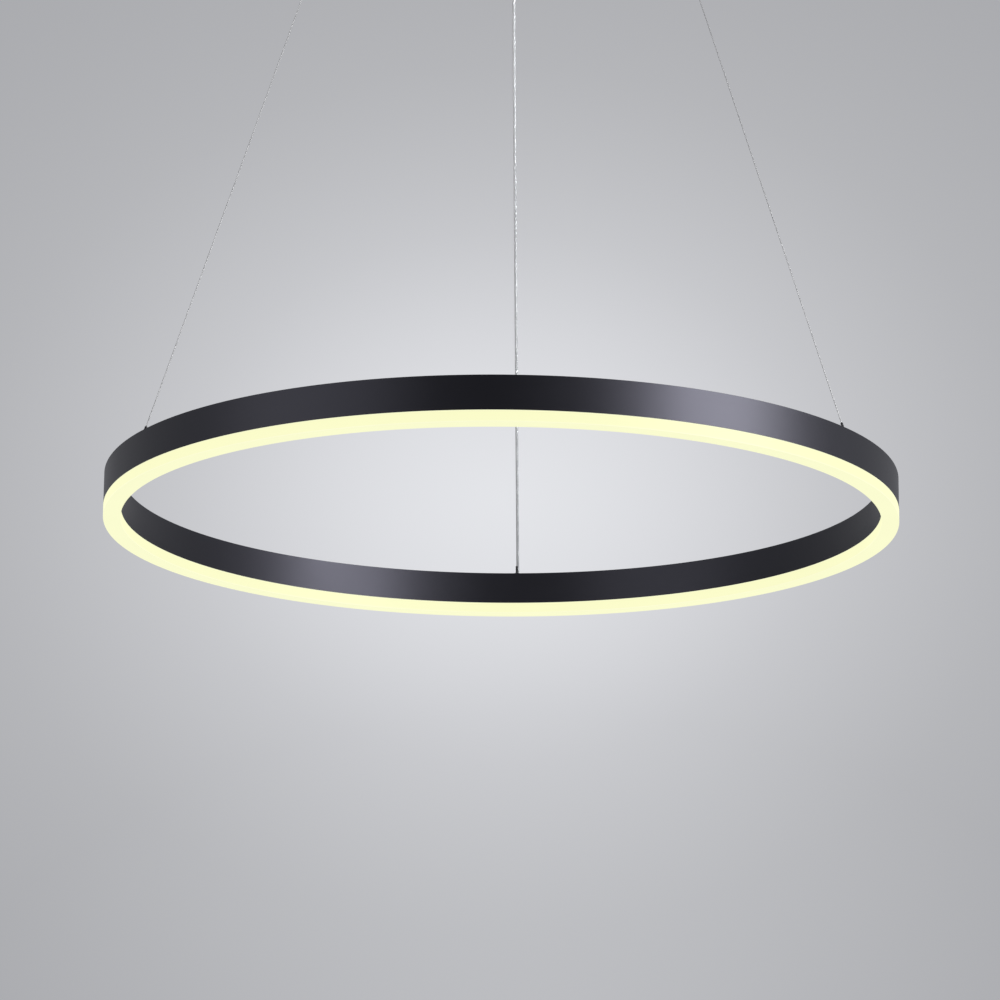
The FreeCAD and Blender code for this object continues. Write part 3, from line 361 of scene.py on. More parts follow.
glow_tree.links.new(glow_frost, glow_shader.inputs["Normal"])

diffuser_outline = [
    (400, -33.5), (400, -45), (382.5, -45), (382.5, -33.5), (384.1, -33.5), (384.1, -29.4),
    (383.7, -29.4), (384.1, -27.2), (384.1, -25.5), (385.7, -25.5), (385.7, -43), (396.8, -43),
    (396.8, -25.5), (398.4, -25.5), (398.4, -27.2), (398.8, -29.4), (398.4, -29.4), (398.4, -33.5),
]
diffuser = turned([diffuser_outline], steps=360, rounding=0.35)
bmesh.ops.translate(diffuser, verts=diffuser.verts, vec=(0, 0, ring_top))
diffuser = finish_piece(diffuser, "diffuser_trough", "ring", [glow], ["diffuser"])
keep_flats_flat(diffuser)


# Anchors: a blackened brass stud stands in the casing's top over each wire, held by a washer and a
# nut inside the chamber. Its cup holds the ball end of the wire's ferrule, so the wire can lean.
def arc(middle, radius, first, last, count):
    """The corners of an arc in a turned piece's outline, by angle in degrees from the outward level."""
    turns = [math.radians(first + (last - first) * i / count) for i in range(count + 1)]
    return [(middle[0] + radius * math.cos(t), middle[1] + radius * math.sin(t)) for t in turns]


def moved(work, spot, turn=0.0):
    """Turns a mesh about its own Z axis and sets it down on the spot, in metres."""
    place = Matrix.Translation(spot) @ Matrix.Rotation(turn, 4, "Z")
    bmesh.ops.transform(work, matrix=place, verts=work.verts)
    return work


def spot_at(out, reach, level):
    """The point at this reach from the middle in a level direction, and at this height, in metres."""
    return out * reach + Vector((0, 0, level))


blackened_brass = plated(
    "blackened_brass", (0.018, 0.018, 0.02), (0.035, 0.034, 0.036),
    roughness=0.34, grain_scale=1800, grain_depth=0.00003,
)
sides = {"rear": math.radians(90), "left": math.radians(210), "right": math.radians(330)}
outward = {side: Vector((math.cos(turn), math.sin(turn), 0)) for side, turn in sides.items()}
stud_outline = [
    (0, -8), (2, -8), (2, 0), (3.4, 0), (3.4, 1.4), (3.0, 1.8), (1.6, 1.8),
    *arc((0, 0.5), 1.85, 30.1, -90, 9),
]
studs = []
for side, out in outward.items():
    stud = turned([stud_outline], steps=48, rounding=0.08)
    studs.append(moved(stud, spot_at(out, ring_mid, ring_top)))
finish_piece(gathered(studs), "cupped_studs", "ring", [blackened_brass], ["anchor_studs"])
dress(zinc_steel, "anchor_washers", "anchor_nuts")


# Ferrules: a blackened brass sleeve is crimped in two places on the end of each wire, with a short
# neck and a ball below it. The ball sits in the stud's cup and the sleeve follows the wire's lean.
def stood_up(work, foot, head):
    """Moves a piece that was made upright on the origin to stand on foot and point at head."""
    lean = (Vector(head) - Vector(foot)).to_track_quat("Z", "Y").to_matrix().to_4x4()
    bmesh.ops.transform(work, matrix=Matrix.Translation(foot) @ lean, verts=work.verts)
    return work


mouth_reach, mouth_level = 0.085, -0.053
ferrule_outline = [
    *arc((0, 0), 1.8, -90, 61.8, 9), (0.85, 2.2), (1.3, 2.3), (1.3, 3.7), (1.14, 3.9), (1.14, 4.9),
    (1.3, 5.1), (1.3, 6.5), (1.14, 6.7), (1.14, 7.7), (1.3, 7.9), (1.3, 8.5), (0.95, 9.5), (0.55, 9.5),
    (0.55, 9.0), (0, 9.0),
]
ferrules = []
for side, out in outward.items():
    ball = spot_at(out, ring_mid, ring_top + 0.0005)
    mouth = spot_at(out, mouth_reach, mouth_level)
    ferrules.append(stood_up(turned([ferrule_outline], steps=40, rounding=0.06), ball, mouth))
finish_piece(
    gathered(ferrules), "ball_ferrules", "ring", [blackened_brass], ["wire_ferrules"]
)

# Suspension wires: three fine steel ropes of six strands laid round a core, pulled dead straight by
# the ring. Each is crimped into a ferrule below and runs up into a cable gripper.
rope_steel, rope_tree, rope_shader = new_finish("steel_rope", {"Metallic": 1, "Roughness": 0.5})
rope_stops = [(0.3, (0.27, 0.27, 0.275)), (0.7, (0.4, 0.4, 0.405))]
rope_tone = colours_by(rope_tree, soft_noise(rope_tree, scale=900, detail=3), rope_stops)
rope_tree.links.new(rope_tone, rope_shader.inputs["Base Color"])


def line_of(name, points):
    """The points along a smooth spline that has the route's points as its control points."""
    curve = bpy.data.curves.new(name, "CURVE")
    curve.dimensions = "3D"
    curve.resolution_u = 12
    spline = curve.splines.new("NURBS")
    spline.points.add(len(points) - 1)
    for knot, point in zip(spline.points, points):
        knot.co = (*point, 1)
    spline.order_u = 3
    spline.use_endpoint_u = True
    holder = bpy.data.objects.new(name, curve)
    bpy.context.collection.objects.link(holder)
    bpy.context.view_layer.update()
    mesh = bpy.data.meshes.new_from_object(holder)
    line = [tuple(v.co) for v in mesh.vertices]
    bpy.data.objects.remove(holder)
    bpy.data.meshes.remove(mesh)
    return line


def towards(foot, head, distance):
    """The point at the given distance from foot on the way to head."""
    foot, head = Vector(foot), Vector(head)
    return tuple(foot + (head - foot).normalized() * distance)


def twisted(work, radius, corners, groove, away, pitch, length, cuts, material=0):
    """Adds a strand or rope section to work, drawn up along Z with a steady twist."""
    made = bmesh.ops.create_circle(work, cap_ends=False, segments=corners, radius=radius)["verts"]
    for number, corner in enumerate(made):
        if number % 2:
            corner.co *= groove
    bmesh.ops.translate(work, verts=made, vec=(away, 0, 0))
    rims = list({e for v in made for e in v.link_edges})
    turns = length / pitch
    steps = int(turns * cuts)
    before = set(work.faces)
    swept = bmesh.ops.spin(
        work, geom=made + rims, cent=(0, 0, 0), axis=(0, 0, 1), dvec=(0, 0, length / steps),
        angle=2 * math.pi * turns, steps=steps, use_merge=False, use_duplicate=False,
    )
    last = [e for e in swept["geom_last"] if isinstance(e, bmesh.types.BMEdge)]
    bmesh.ops.contextual_create(work, geom=rims)
    bmesh.ops.contextual_create(work, geom=last)
    for face in set(work.faces) - before:
        face.material_index = material


wire_foot_reach, wire_foot_level = 0.389206, -0.97133
wire_end = 0.006
for side, out in outward.items():
    foot = spot_at(out, wire_foot_reach, wire_foot_level)
    head = spot_at(out, mouth_reach, mouth_level)
    route = line_of("wire_line", [head, towards(head, foot, wire_end), towards(foot, head, wire_end), foot])
    rope = bmesh.new()
    twisted(
        rope, radius=0.0005, corners=12, groove=0.88, away=0, pitch=0.0085,
        length=(head - foot).length, cuts=10,
    )
    bmesh.ops.recalc_face_normals(rope, faces=rope.faces)
    stood_up(rope, foot, head)
    wire = finish_piece(rope, f"wire_rope_{side}", "canopy", [rope_steel], [f"wire_{side}"])
    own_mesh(wire)

# Power cord: two tinned cores, lightly twisted, in one clear sheath. It hangs straight between the
# gland in the canopy and the rubber grommet in the casing, just beside the rear wire.
clear_sheath, sheath_tree, sheath_shader = new_finish(
    "clear_sheath", {"Base Color": (0.93, 0.95, 0.96, 1), "Transmission Weight": 0.9, "IOR": 1.45}
)
sheath_cloud = soft_noise(sheath_tree, scale=60)
sheath_haze = spread_over(sheath_tree, sheath_cloud, low=0.08, high=0.2, first=0, last=1)
sheath_tree.links.new(sheath_haze, sheath_shader.inputs["Roughness"])

tinned, tinned_tree, tinned_shader = new_finish("tinned_core", {"Metallic": 1, "Roughness": 0.3})
tinned_stops = [(0.3, (0.62, 0.63, 0.64)), (0.7, (0.84, 0.85, 0.86))]
tinned_tone = colours_by(tinned_tree, soft_noise(tinned_tree, scale=1600), tinned_stops)
tinned_tree.links.new(tinned_tone, tinned_shader.inputs["Base Color"])

cord_foot = Vector((0.0012, 0.39675, -0.9777))
cord_head = Vector((0.001, 0.1, -0.0495))
cord_end = 0.0132
cord_below_gland = towards(cord_head, cord_foot, cord_end)
cord_above_ring = towards(cord_foot, cord_head, cord_end)
cord_route = line_of("cord_line", [cord_head, cord_below_gland, cord_above_ring, cord_foot])
cord_length = (cord_head - cord_foot).length
cord = bmesh.new()
twisted(cord, radius=0.0011, corners=20, groove=1, away=0, pitch=0.3, length=cord_length, cuts=24)
for way in (-1, 1):
    twisted(
        cord, radius=0.0003, corners=8, groove=1, away=0.00034 * way, pitch=0.045,
        length=cord_length, cuts=16, material=1,
    )
bmesh.ops.recalc_face_normals(cord, faces=cord.faces)
stood_up(cord, cord_foot, cord_head)
cord = finish_piece(cord, "clear_cord", "canopy", [clear_sheath, tinned], ["power_cord"])
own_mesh(cord)

# Grommet: a small black rubber bush in the casing's top keeps the metal's edge off the cord. The
# cord's end goes on inside the chamber and down through the shelf to the light strip.
black_rubber = moulded(
    "black_rubber", (0.012, 0.012, 0.012), (0.02, 0.02, 0.02),
    roughness=0.7, cloud_scale=200, grain_scale=2400, grain_depth=0.00005,
)
grommet_outline = [(1.15, -4.5), (1.5, -4.5), (1.5, 0), (2.1, 0), (2.1, 0.8), (1.6, 0.8), (1.15, -1)]
grommet = turned([grommet_outline], steps=40, rounding=0.1)
moved(grommet, (cord_foot.x, cord_foot.y, ring_top))
finish_piece(grommet, "rubber_bush", "ring", [black_rubber], ["cord_grommet"])
lead_clear = moulded(
    "lead_clear", (0.5, 0.51, 0.52), (0.75, 0.76, 0.77),
    roughness=0.16, cloud_scale=700, grain_scale=900, grain_depth=0.00003,
)
lead_clear.node_tree.nodes["Principled BSDF"].inputs["Transmission Weight"].default_value = 0.45
dress(lead_clear, "strip_lead", "output_lead", "cord_inner")

# Mounting bracket: a strap pressed from zinc plated steel, screwed to the ceiling through its two
# slots. A tab at each end is bent down to take the canopy's side screw.
strap_outline = [
    (-108, -17), *arc((-105.5, -2.5), 2.5, 180, 90, 5), *arc((105.5, -2.5), 2.5, 90, 0, 5), (108, -17),
    (106.5, -17), *arc((105.5, -2.5), 1, 0, 90, 3), *arc((-105.5, -2.5), 1, 90, 180, 3), (-106.5, -17),
]
strap_half_width, tab_low = 0.012, -0.017
strap = bmesh.new()
strap_corners = [strap.verts.new((x / 1000, -strap_half_width, z / 1000)) for x, z in strap_outline]
pushed = bmesh.ops.extrude_face_region(strap, geom=[strap.faces.new(strap_corners)])["geom"]
pushed = [v for v in pushed if isinstance(v, bmesh.types.BMVert)]
bmesh.ops.translate(strap, verts=pushed, vec=(0, 2 * strap_half_width, 0))
bmesh.ops.recalc_face_normals(strap, faces=strap.faces)
tab_corners = [
    e for e in strap.edges
    if all(v.co.z < tab_low + 0.0001 for v in e.verts) and e.verts[0].co.y * e.verts[1].co.y > 0
]
bevelled(strap, tab_corners, offset=4, segments=6)
bevelled(strap, sharp_edges(strap), offset=0.2, segments=2)
side_screw_level = -0.01
drill_level, drill_length = -0.003, 0.004
slot_away, slot_half_stretch, tab_drill_away = 0.06, 0.0075, 0.1045
strap_holes = []
supply_hole, block_hole, earth_hole = (0.006, 0, 64), (0.00205, -0.03, 40), (0.00155, 0.0325, 32)
for radius, along, corners in (supply_hole, block_hole, earth_hole):
    strap_holes.append(rod(radius, drill_length, (along, 0, drill_level), sides=corners))
for way in (-1, 1):
    slot = rod(radius=0.0025, length=drill_length, foot=(0, 0, drill_level), sides=40)
    for corner in slot.verts:
        corner.co.x += math.copysign(slot_half_stretch, corner.co.x)
    strap_holes.append(moved(slot, (slot_away * way, 0, 0)))
    foot = (tab_drill_away * way, 0, side_screw_level)
    strap_holes.append(rod(radius=0.00205, length=0.005, foot=foot, direction=(way, 0, 0), sides=40))
bracket = finish_piece(
    carved(strap, strap_holes), "pressed_strap", "canopy", [zinc_steel], ["mounting_bracket"]
)
keep_flats_flat(bracket)
dress(zinc_steel, "block_screw", "earth_screw", "terminal_screws")

# Canopy: a shallow cup pressed from thin sheet steel and powder coated in the ring's satin black. It
# is drilled for three grippers and the cord's gland, and once on each side for a screw.
canopy_black = powder_coat(
    "canopy_black", (0.0035, 0.0035, 0.004), (0.0055, 0.0055, 0.0062), roughness=0.36, sheen_patch=0.03
)
cup_outline = [
    (0, -38), *arc((105, -33), 5, -90, 0, 8), (110, 0), (109, 0), *arc((105, -33), 4, 0, -90, 8), (0, -37),
]
cup_low, cup_floor = -0.038, -0.037
gland_x, gland_y = 0.001, 0.1
cup_drill_level, cup_drill_length, side_drill_away = cup_low - 0.003, 0.006, 0.107
cup_holes = [rod(radius=0.0031, length=cup_drill_length, foot=(gland_x, gland_y, cup_drill_level))]
for out in outward.values():
    foot = spot_at(out, mouth_reach, cup_drill_level)
    cup_holes.append(rod(radius=0.0051, length=cup_drill_length, foot=foot, sides=48))
for way in (-1, 1):
    foot = (side_drill_away * way, 0, side_screw_level)
    cup_holes.append(rod(radius=0.0021, length=cup_drill_length, foot=foot, direction=(way, 0, 0)))
canopy_cup = carved(turned([cup_outline], steps=200, rounding=0.2), cup_holes)
canopy_cup = finish_piece(canopy_cup, "pressed_cup", "canopy", [canopy_black], ["canopy_cup"])
keep_flats_flat(canopy_cup)


# Side screws: two thumbscrews with straight-knurled heads go through the cup into the bracket's tabs
# and carry the canopy. They are turned from brass and blackened.
def thread(radius, depth, start, half_pitch, count):
    """A thread's corners in a turned piece's outline, drawn as plain grooves, in millimetres."""
    return [(radius - depth * (n % 2), start + half_pitch * n) for n in range(count)]


screw_outline = [
    (0, 0), (3.9, 0), (4.5, 0.6), (4.5, 5), (2, 5),
    *thread(radius=2, depth=0.22, start=5.3, half_pitch=0.35, count=18), (1.6, 12), (0, 12),
]
screw_head_away = 0.115
knurl_reach, knurl_turn, knurl_narrowing = 0.0043, math.radians(5), 0.952
side_screws = []
for way in (-1, 1):
    screw = turned([screw_outline], steps=72)
    for corner in screw.verts:
        groove = round(math.atan2(corner.co.y, corner.co.x) / knurl_turn) % 2
        if groove and corner.co.xy.length > knurl_reach:
            corner.co.xy *= knurl_narrowing
    foot = Vector((screw_head_away * way, 0, side_screw_level))
    side_screws.append(stood_up(screw, foot, foot - Vector((way, 0, 0))))
finish_piece(
    gathered(side_screws), "thumbscrews", "canopy", [blackened_brass],
    ["canopy_side_screws"],
)

# Cable grippers: a nickel plated barrel stands under the canopy on its threaded shank. Three balls
# in a cage wedge the wire in the barrel's cone, until the nozzle below is pressed up against its spring.
nickel = plated(
    "nickel", (0.5, 0.485, 0.46), (0.6, 0.585, 0.56),
    roughness=0.2, grain_scale=2600, grain_depth=0.00002,
)
barrel_outline = [
    (2.6, -11), (5.9, -11), (6.5, -10.4), (6.5, 0), (5, 0), (5, 1.2),
    *thread(radius=5, depth=0.3, start=1.6, half_pitch=0.4, count=32),
    (4.8, 15), (3.6, 15), (3.6, -2), (2.65, -8), (2.6, -8),
]
plunger_outline = [
    (1.7, -15), (2.2, -15), (2.5, -14.7), (2.5, -1.9), (3.5, -1.9), (3.5, 0), (0.7, 0), (0.7, -13),
]
cap_outline = [(0.8, 11), (3.55, 11), (3.55, 15), (5, 15), (5, 16), (0.8, 16)]
window_level = -0.0055
for side, out in outward.items():
    seat, turn = spot_at(out, mouth_reach, cup_low), sides[side]
    barrel = moved(turned([barrel_outline], steps=72, rounding=0.1), seat, turn)
    finish_piece(barrel, f"barrel_{side}", "canopy", [nickel], [f"gripper_barrel_{side}"])
    windows = []
    for way in (0, 120, 240):
        aim = Vector((math.cos(math.radians(way)), math.sin(math.radians(way)), 0))
        foot = spot_at(aim, 0.0005, window_level)
        windows.append(rod(radius=0.00125, length=0.0035, foot=foot, direction=aim))
    cage = carved(turned([plunger_outline], steps=48, rounding=0.05), windows)
    moved(cage, seat, turn)
    finish_piece(cage, f"nozzle_{side}", f"press_{side}", [nickel], [f"plunger_{side}"])
    cap = moved(turned([cap_outline], steps=48, rounding=0.1), seat, turn)
    finish_piece(cap, f"cap_{side}", "canopy", [nickel], [f"gripper_cap_{side}"])
    dress(zinc_steel, f"grip_balls_{side}")


# Gripper nuts: hexagonal nickel plated nuts clamp the barrels' shanks to the canopy's floor. Each is
# a hexagonal bar whose corners are turned off at both faces.
def hex_nut(flats, height, bore):
    """A nut standing on the origin, its sizes in millimetres."""
    corner = flats / math.sqrt(3)
    face, low, high = flats * 0.49, height * 0.16, height * 0.84
    bar = rod(radius=corner / 1000, length=height / 1000, foot=(0, 0, 0), sides=6)
    blank_outline = [
        (bore, 0), (face, 0), (corner + 0.2, low), (corner + 0.2, high), (face, height), (bore, height),
    ]
    return carved(bar, [turned([blank_outline], steps=72)], "INTERSECT")


gripper_nuts = []
for side, out in outward.items():
    seat = spot_at(out, mouth_reach, cup_floor)
    nut = hex_nut(flats=14, height=4, bore=5.05)
    gripper_nuts.append(moved(nut, seat, sides[side] + math.radians(30)))
finish_piece(gathered(gripper_nuts), "hexagon_nuts", "canopy", [nickel], ["gripper_nuts"])

# Gripper springs: coils of drawn steel wire between the cage's collar and the cap.
spring_steel = plated(
    "spring_steel", (0.3, 0.3, 0.31), (0.42, 0.42, 0.43),
    roughness=0.28, grain_scale=3000, grain_depth=0.00002,
)
spring_low, spring_high, spring_seat = -0.03765, -0.02735, -0.027
spring_turns, spring_steps = 4, 112
spring_reach, spring_wire_radius = 0.0025, 0.0003
for side, out in outward.items():
    spring = bmesh.new()
    circle = bmesh.ops.create_circle(spring, cap_ends=False, segments=10, radius=spring_wire_radius)["verts"]
    upright = Matrix.Rotation(math.radians(90), 3, "X")
    bmesh.ops.rotate(spring, verts=circle, cent=(0, 0, 0), matrix=upright)
    bmesh.ops.translate(spring, verts=circle, vec=(spring_reach, 0, spring_low))
    rims = list(spring.edges)
    swept = bmesh.ops.spin(
        spring, geom=circle + rims, cent=(0, 0, 0), axis=(0, 0, 1), angle=2 * math.pi * spring_turns,
        steps=spring_steps, dvec=(0, 0, (spring_high - spring_low) / spring_steps),
        use_merge=False, use_duplicate=False,
    )
    last = [e for e in swept["geom_last"] if isinstance(e, bmesh.types.BMEdge)]
    bmesh.ops.contextual_create(spring, geom=rims)
    bmesh.ops.contextual_create(spring, geom=last)
    bmesh.ops.recalc_face_normals(spring, faces=spring.faces)
    moved(spring, out * mouth_reach)
    spring = finish_piece(
        spring, f"spring_{side}", "canopy", [spring_steel], [f"gripper_spring_{side}"]
    )
    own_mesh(spring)

# Spare wire ends: above each gripper the wire's free end sticks up into the canopy and is bent over.
# It is the same fine steel rope as below.
dress(rope_steel, "wire_tails")

# Gland: a black nylon bush with a tapered nose grips the cord where it leaves the canopy. A nylon nut
# holds it from inside.
black_nylon = moulded(
    "black_nylon", (0.01, 0.01, 0.011), (0.018, 0.018, 0.019),
    roughness=0.42, cloud_scale=160, grain_scale=1500, grain_depth=0.00004,
)
gland_outline = [
    (1.8, -12), (2.2, -12), (3, -2), (4.2, -2), (4.2, 0), (3, 0), (3, 9), (1.15, 9), (1.15, -10),
]
gland = moved(turned([gland_outline], steps=56, rounding=0.15), (gland_x, gland_y, cup_low))
finish_piece(gland, "tapered_gland", "canopy", [black_nylon], ["cord_gland"])
nut = hex_nut(flats=8, height=3, bore=3.05)
moved(nut, (gland_x, gland_y, cup_floor), math.radians(30))
finish_piece(nut, "nylon_nut", "canopy", [black_nylon], ["gland_nut"])
dress(black_nylon, "plug", "plug_socket")


# Driver: a white plastic case on a foam pad turns the mains into the strip's low voltage. Its board
# stands on four posts and carries a transformer, a ring choke and four capacitors.
def moulded_box(length, width, height, corner, edge):
    """A box standing on the origin, its upright corners and its other edges rounded, in millimetres."""
    work = bmesh.new()
    bmesh.ops.create_cube(work, size=1)
    bmesh.ops.scale(work, verts=work.verts, vec=(length / 1000, width / 1000, height / 1000))
    bmesh.ops.translate(work, verts=work.verts, vec=(0, 0, height / 2000))
    upright = [e for e in work.edges if abs(e.verts[0].co.z - e.verts[1].co.z) > height / 2000]
    bevelled(work, upright, offset=corner, segments=6)
    bevelled(work, sharp_edges(work), offset=edge, segments=3)
    return work


grey_foam = moulded(
    "grey_foam", (0.14, 0.14, 0.145), (0.22, 0.22, 0.225),
    roughness=0.9, cloud_scale=700, grain_scale=1200, grain_depth=0.0002,
)
dress(grey_foam, "driver_pad")
white_plastic = moulded(
    "white_plastic", (0.7, 0.7, 0.68), (0.76, 0.76, 0.74),
    roughness=0.45, cloud_scale=40, grain_scale=1200, grain_depth=0.00004,
)
driver_low, driver_wall, driver_seam = -0.036, 0.0015, -0.0175
lead_hole_away, lead_hole_level = 0.055, -0.027
case = moulded_box(length=116, width=40, height=18.5, corner=2, edge=0.4)
hollow = moulded_box(length=113, width=37, height=18.5, corner=1, edge=0.2)
moved(case, (0, 0, driver_low))
moved(hollow, (0, 0, driver_low + driver_wall))
case = carved(case, [hollow])
lead_holes = []
for way in (-1, 1):
    foot = (lead_hole_away * way, 0, lead_hole_level)
    lead_holes.append(rod(radius=0.0026, length=0.006, foot=foot, direction=(way, 0, 0)))
case = carved(case, lead_holes)
case = finish_piece(case, "driver_shell", "canopy", [white_plastic], ["driver_case"])
keep_flats_flat(case)
lid = moulded_box(length=116, width=40, height=1.5, corner=2, edge=0.4)
lid_rim = moulded_box(length=112.8, width=36.8, height=2, corner=0.9, edge=0.1)
rim_hollow = moulded_box(length=110, width=34, height=4, corner=0.5, edge=0.1)
moved(lid, (0, 0, driver_seam))
moved(lid_rim, (0, 0, driver_seam - 0.002))
moved(rim_hollow, (0, 0, driver_seam - 0.003))
lid_rim = carved(lid_rim, [rim_hollow])
lid = finish_piece(
    gathered([lid, lid_rim]), "driver_cover", "canopy", [white_plastic], ["driver_lid"]
)
keep_flats_flat(lid)
dress(white_plastic, "board_posts")
board_green = moulded(
    "board_green", (0.015, 0.12, 0.04), (0.03, 0.17, 0.06),
    roughness=0.35, cloud_scale=500, grain_scale=900, grain_depth=0.00004,
)
dress(board_green, "driver_board")
ferrite = moulded(
    "ferrite", (0.02, 0.02, 0.021), (0.045, 0.045, 0.046),
    roughness=0.55, cloud_scale=300, grain_scale=1400, grain_depth=0.00005,
)
dress(ferrite, "driver_transformer", "driver_choke")
sleeve = moulded(
    "capacitor_sleeve", (0.008, 0.01, 0.02), (0.012, 0.015, 0.03),
    roughness=0.25, cloud_scale=90, grain_scale=900, grain_depth=0.00002,
)
dress(sleeve, "driver_capacitors")

# Terminal block: cloudy clear nylon over three brass barrels, for the supply's live, neutral and
# earth wires. The earth pole is joined to a lug under the bracket's earth screw.
clear_nylon = moulded(
    "clear_nylon", (0.62, 0.62, 0.58), (0.74, 0.74, 0.7),
    roughness=0.3, cloud_scale=120, grain_scale=900, grain_depth=0.00003,
)
dress(clear_nylon, "terminal_block")
brass = plated(
    "brass", (0.55, 0.38, 0.14), (0.68, 0.49, 0.2),
    roughness=0.26, grain_scale=2400, grain_depth=0.00002,
)
dress(brass, "terminal_barrels", "earth_lug")
brown_sheath = moulded(
    "lead_sheath", (0.035, 0.014, 0.006), (0.05, 0.02, 0.009),
    roughness=0.35, cloud_scale=120, grain_scale=900, grain_depth=0.00003,
)
dress(brown_sheath, "mains_leads")

# Earth lead: a soft lead from the block's earth pole to the lug under the bracket's earth screw. Its
# sheath is striped green and yellow.
earth_sheath = moulded(
    "earth_sheath", (0.03, 0.22, 0.03), (0.05, 0.28, 0.045),
    roughness=0.35, cloud_scale=120, grain_scale=900, grain_depth=0.00003,
)
stripe_tree = earth_sheath.node_tree
stripe_place = stripe_tree.nodes.new("ShaderNodeTexCoord")
stripe = stripe_tree.nodes.new("ShaderNodeTexWave")
stripe.bands_direction = "DIAGONAL"
stripe.inputs["Scale"].default_value = 75
stripe_tree.links.new(stripe_place.outputs["Object"], stripe.inputs["Vector"])
green_and_yellow = [(0, (0.04, 0.25, 0.035)), (0.7, (0.75, 0.6, 0.03))]
stripe_tone = colours_by(stripe_tree, stripe.outputs["Fac"], green_and_yellow, "CONSTANT")
stripe_tree.links.new(stripe_tone, stripe_tree.nodes["Principled BSDF"].inputs["Base Color"])
dress(earth_sheath, "earth_lead")

# Floor and backdrop: a plain pale floor far below, and a plain grey backdrop that is lit a little
# brighter behind the ring.
floor_level = -9.5
floor_mesh = bmesh.new()
bmesh.ops.create_grid(floor_mesh, x_segments=1, y_segments=1, size=60)
bmesh.ops.translate(floor_mesh, verts=floor_mesh.verts, vec=(0, 0, floor_level))
floor_data = bpy.data.meshes.new("floor")
floor_mesh.to_mesh(floor_data)
floor_mesh.free()
pale_floor = new_finish("pale_floor", {"Base Color": (0.85, 0.86, 0.9, 1), "Roughness": 0.8})[0]
floor_data.materials.append(pale_floor)
floor = bpy.data.objects.new("floor", floor_data)
bpy.context.collection.objects.link(floor)

world = bpy.data.worlds.new("backdrop")
bpy.context.scene.world = world
world.use_nodes = True
sky = world.node_tree
sky.nodes.clear()
sky_place = sky.nodes.new("ShaderNodeTexCoord")
ray = sky.nodes.new("ShaderNodeLightPath")
front = Matrix.Rotation(lens_turn, 3, "Z")


def either(first, second):
    """The larger of two values, which is 1 for a ray of either kind."""
    larger = sky.nodes.new("ShaderNodeMath")
    larger.operation = "MAXIMUM"
    sky.links.new(first, larger.inputs[0])
    sky.links.new(second, larger.inputs[1])
    return larger.outputs["Value"]


def soft_spot(turn, rise, spread):
    """A soft round patch on the backdrop: 1 at its middle, where the view turns and rises by these degrees
    from straight ahead of the camera's level line, and 0 at a distance of 1 / spread along each axis."""
    level = Matrix.Rotation(math.radians(turn), 3, "Z") @ Vector((0, math.cos(math.radians(rise)), 0))
    middle = front @ (level + Vector((0, 0, math.sin(math.radians(rise)))))
    patch = sky.nodes.new("ShaderNodeMapping")
    patch.inputs["Scale"].default_value = spread
    patch.inputs["Location"].default_value = [-m * s for m, s in zip(middle, spread)]
    sky.links.new(sky_place.outputs["Generated"], patch.inputs["Vector"])
    ball = sky.nodes.new("ShaderNodeTexGradient")
    ball.gradient_type = "SPHERICAL"
    sky.links.new(patch.outputs["Vector"], ball.inputs["Vector"])
    return ball.outputs["Fac"]


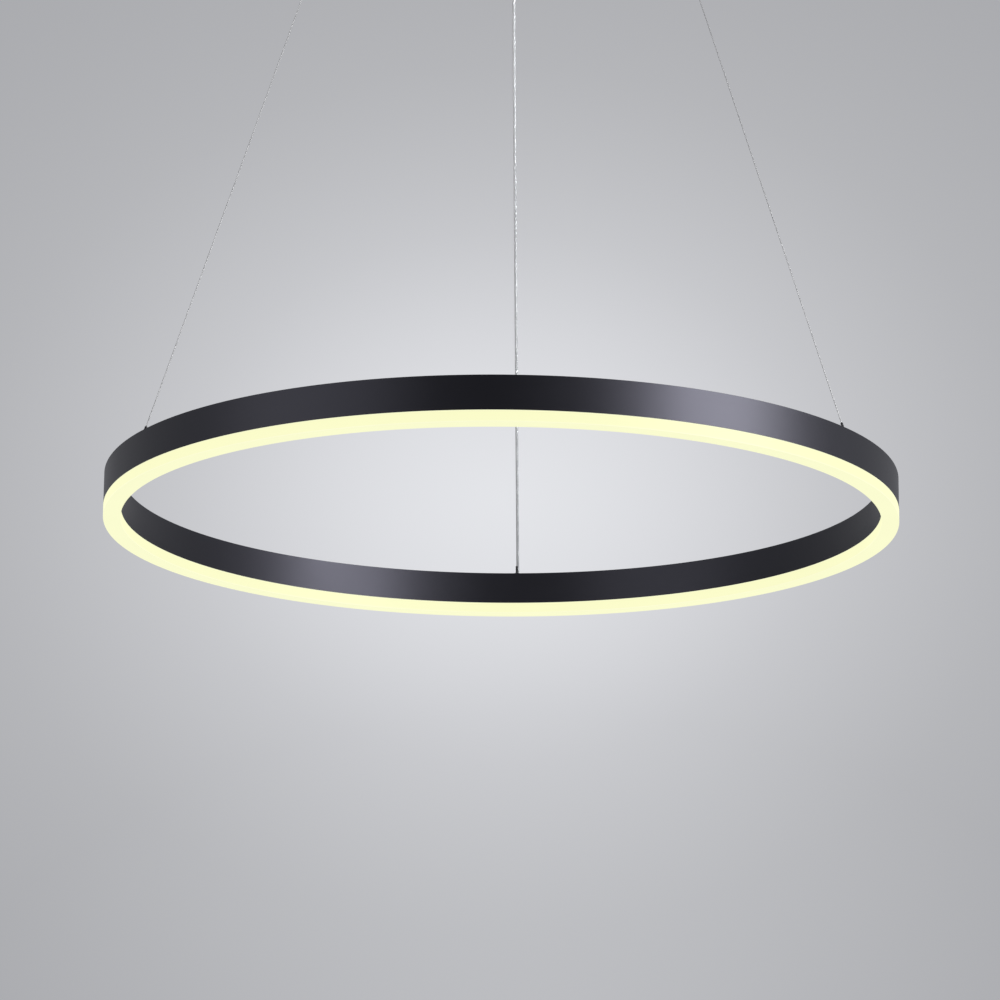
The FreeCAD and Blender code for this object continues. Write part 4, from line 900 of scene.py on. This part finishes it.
sky_stops = [
    (0, (0.393, 0.398, 0.418)), (0.35, (0.4534, 0.458, 0.4777)), (0.6, (0.5643, 0.57, 0.5945)),
    (0.8, (0.7178, 0.725, 0.7562)), (1, (0.785, 0.795, 0.825)),
]
behind_ring = soft_spot(turn=0, rise=14.5, spread=(5.05, 6.15, 6.15))
below_ring = soft_spot(turn=-0.6, rise=6.3, spread=(6.8, 11, 11))
behind_camera = soft_spot(turn=180, rise=14.2, spread=(1.15, 1.15, 1.15))
sky_tone = colours_by(sky, behind_ring, sky_stops, "B_SPLINE")
spill = (0.08, 0.082, 0.085, 1)
sky_tone = blended(sky, "ADD", below_ring, sky_tone, spill)
dim_stops = [(0, (1, 1, 1)), (0.6, (0.18, 0.18, 0.18))]
dim_tone = colours_by(sky, behind_camera, dim_stops, "EASE")
sky_tone = blended(sky, "MULTIPLY", ray.outputs["Is Glossy Ray"], sky_tone, dim_tone)
backdrop_light = sky.nodes.new("ShaderNodeBackground")
sky.links.new(sky_tone, backdrop_light.inputs["Color"])
soft_light = sky.nodes.new("ShaderNodeBackground")
soft_light.inputs["Color"].default_value = (1, 1, 1, 1)
soft_light.inputs["Strength"].default_value = 0.45
seen_or_glossy = either(ray.outputs["Is Camera Ray"], ray.outputs["Is Glossy Ray"])
shows_backdrop = either(seen_or_glossy, ray.outputs["Is Transmission Ray"])
sky_mix = sky.nodes.new("ShaderNodeMixShader")
sky.links.new(shows_backdrop, sky_mix.inputs["Fac"])
sky.links.new(soft_light.outputs["Background"], sky_mix.inputs[1])
sky.links.new(backdrop_light.outputs["Background"], sky_mix.inputs[2])
sky_out = sky.nodes.new("ShaderNodeOutputWorld")
sky.links.new(sky_mix.outputs["Shader"], sky_out.inputs["Surface"])


# Lights: one soft box to the right of the camera, a broad dim one to its left, and a wide one above.
# They are the studio's, and the lamp's own glow comes on top.
def soft_box(name, place, aim, width, height, power):
    """A plain rectangular soft light that faces its aim."""
    lamp = bpy.data.lights.new(name, "AREA")
    lamp.shape = "RECTANGLE"
    lamp.size, lamp.size_y = width, height
    lamp.energy = power
    box = bpy.data.objects.new(name, lamp)
    bpy.context.collection.objects.link(box)
    away = Vector(place) - Vector(aim)
    box.matrix_world = Matrix.Translation(place) @ away.to_track_quat("Z", "Y").to_matrix().to_4x4()


soft_box("right_light", place=(1.44, -0.86, -0.55), aim=(0, 0, -1.0), width=1.0, height=1.5, power=46)
soft_box("left_light", place=(-2.1, -1.8, -0.4), aim=(0, 0, -0.9), width=2.4, height=2.0, power=16.5)
soft_box("top_light", place=(0, -0.6, 2.2), aim=(0, 0, -0.5), width=3.6, height=3.6, power=50)

bpy.context.scene.view_settings.view_transform = "Standard"
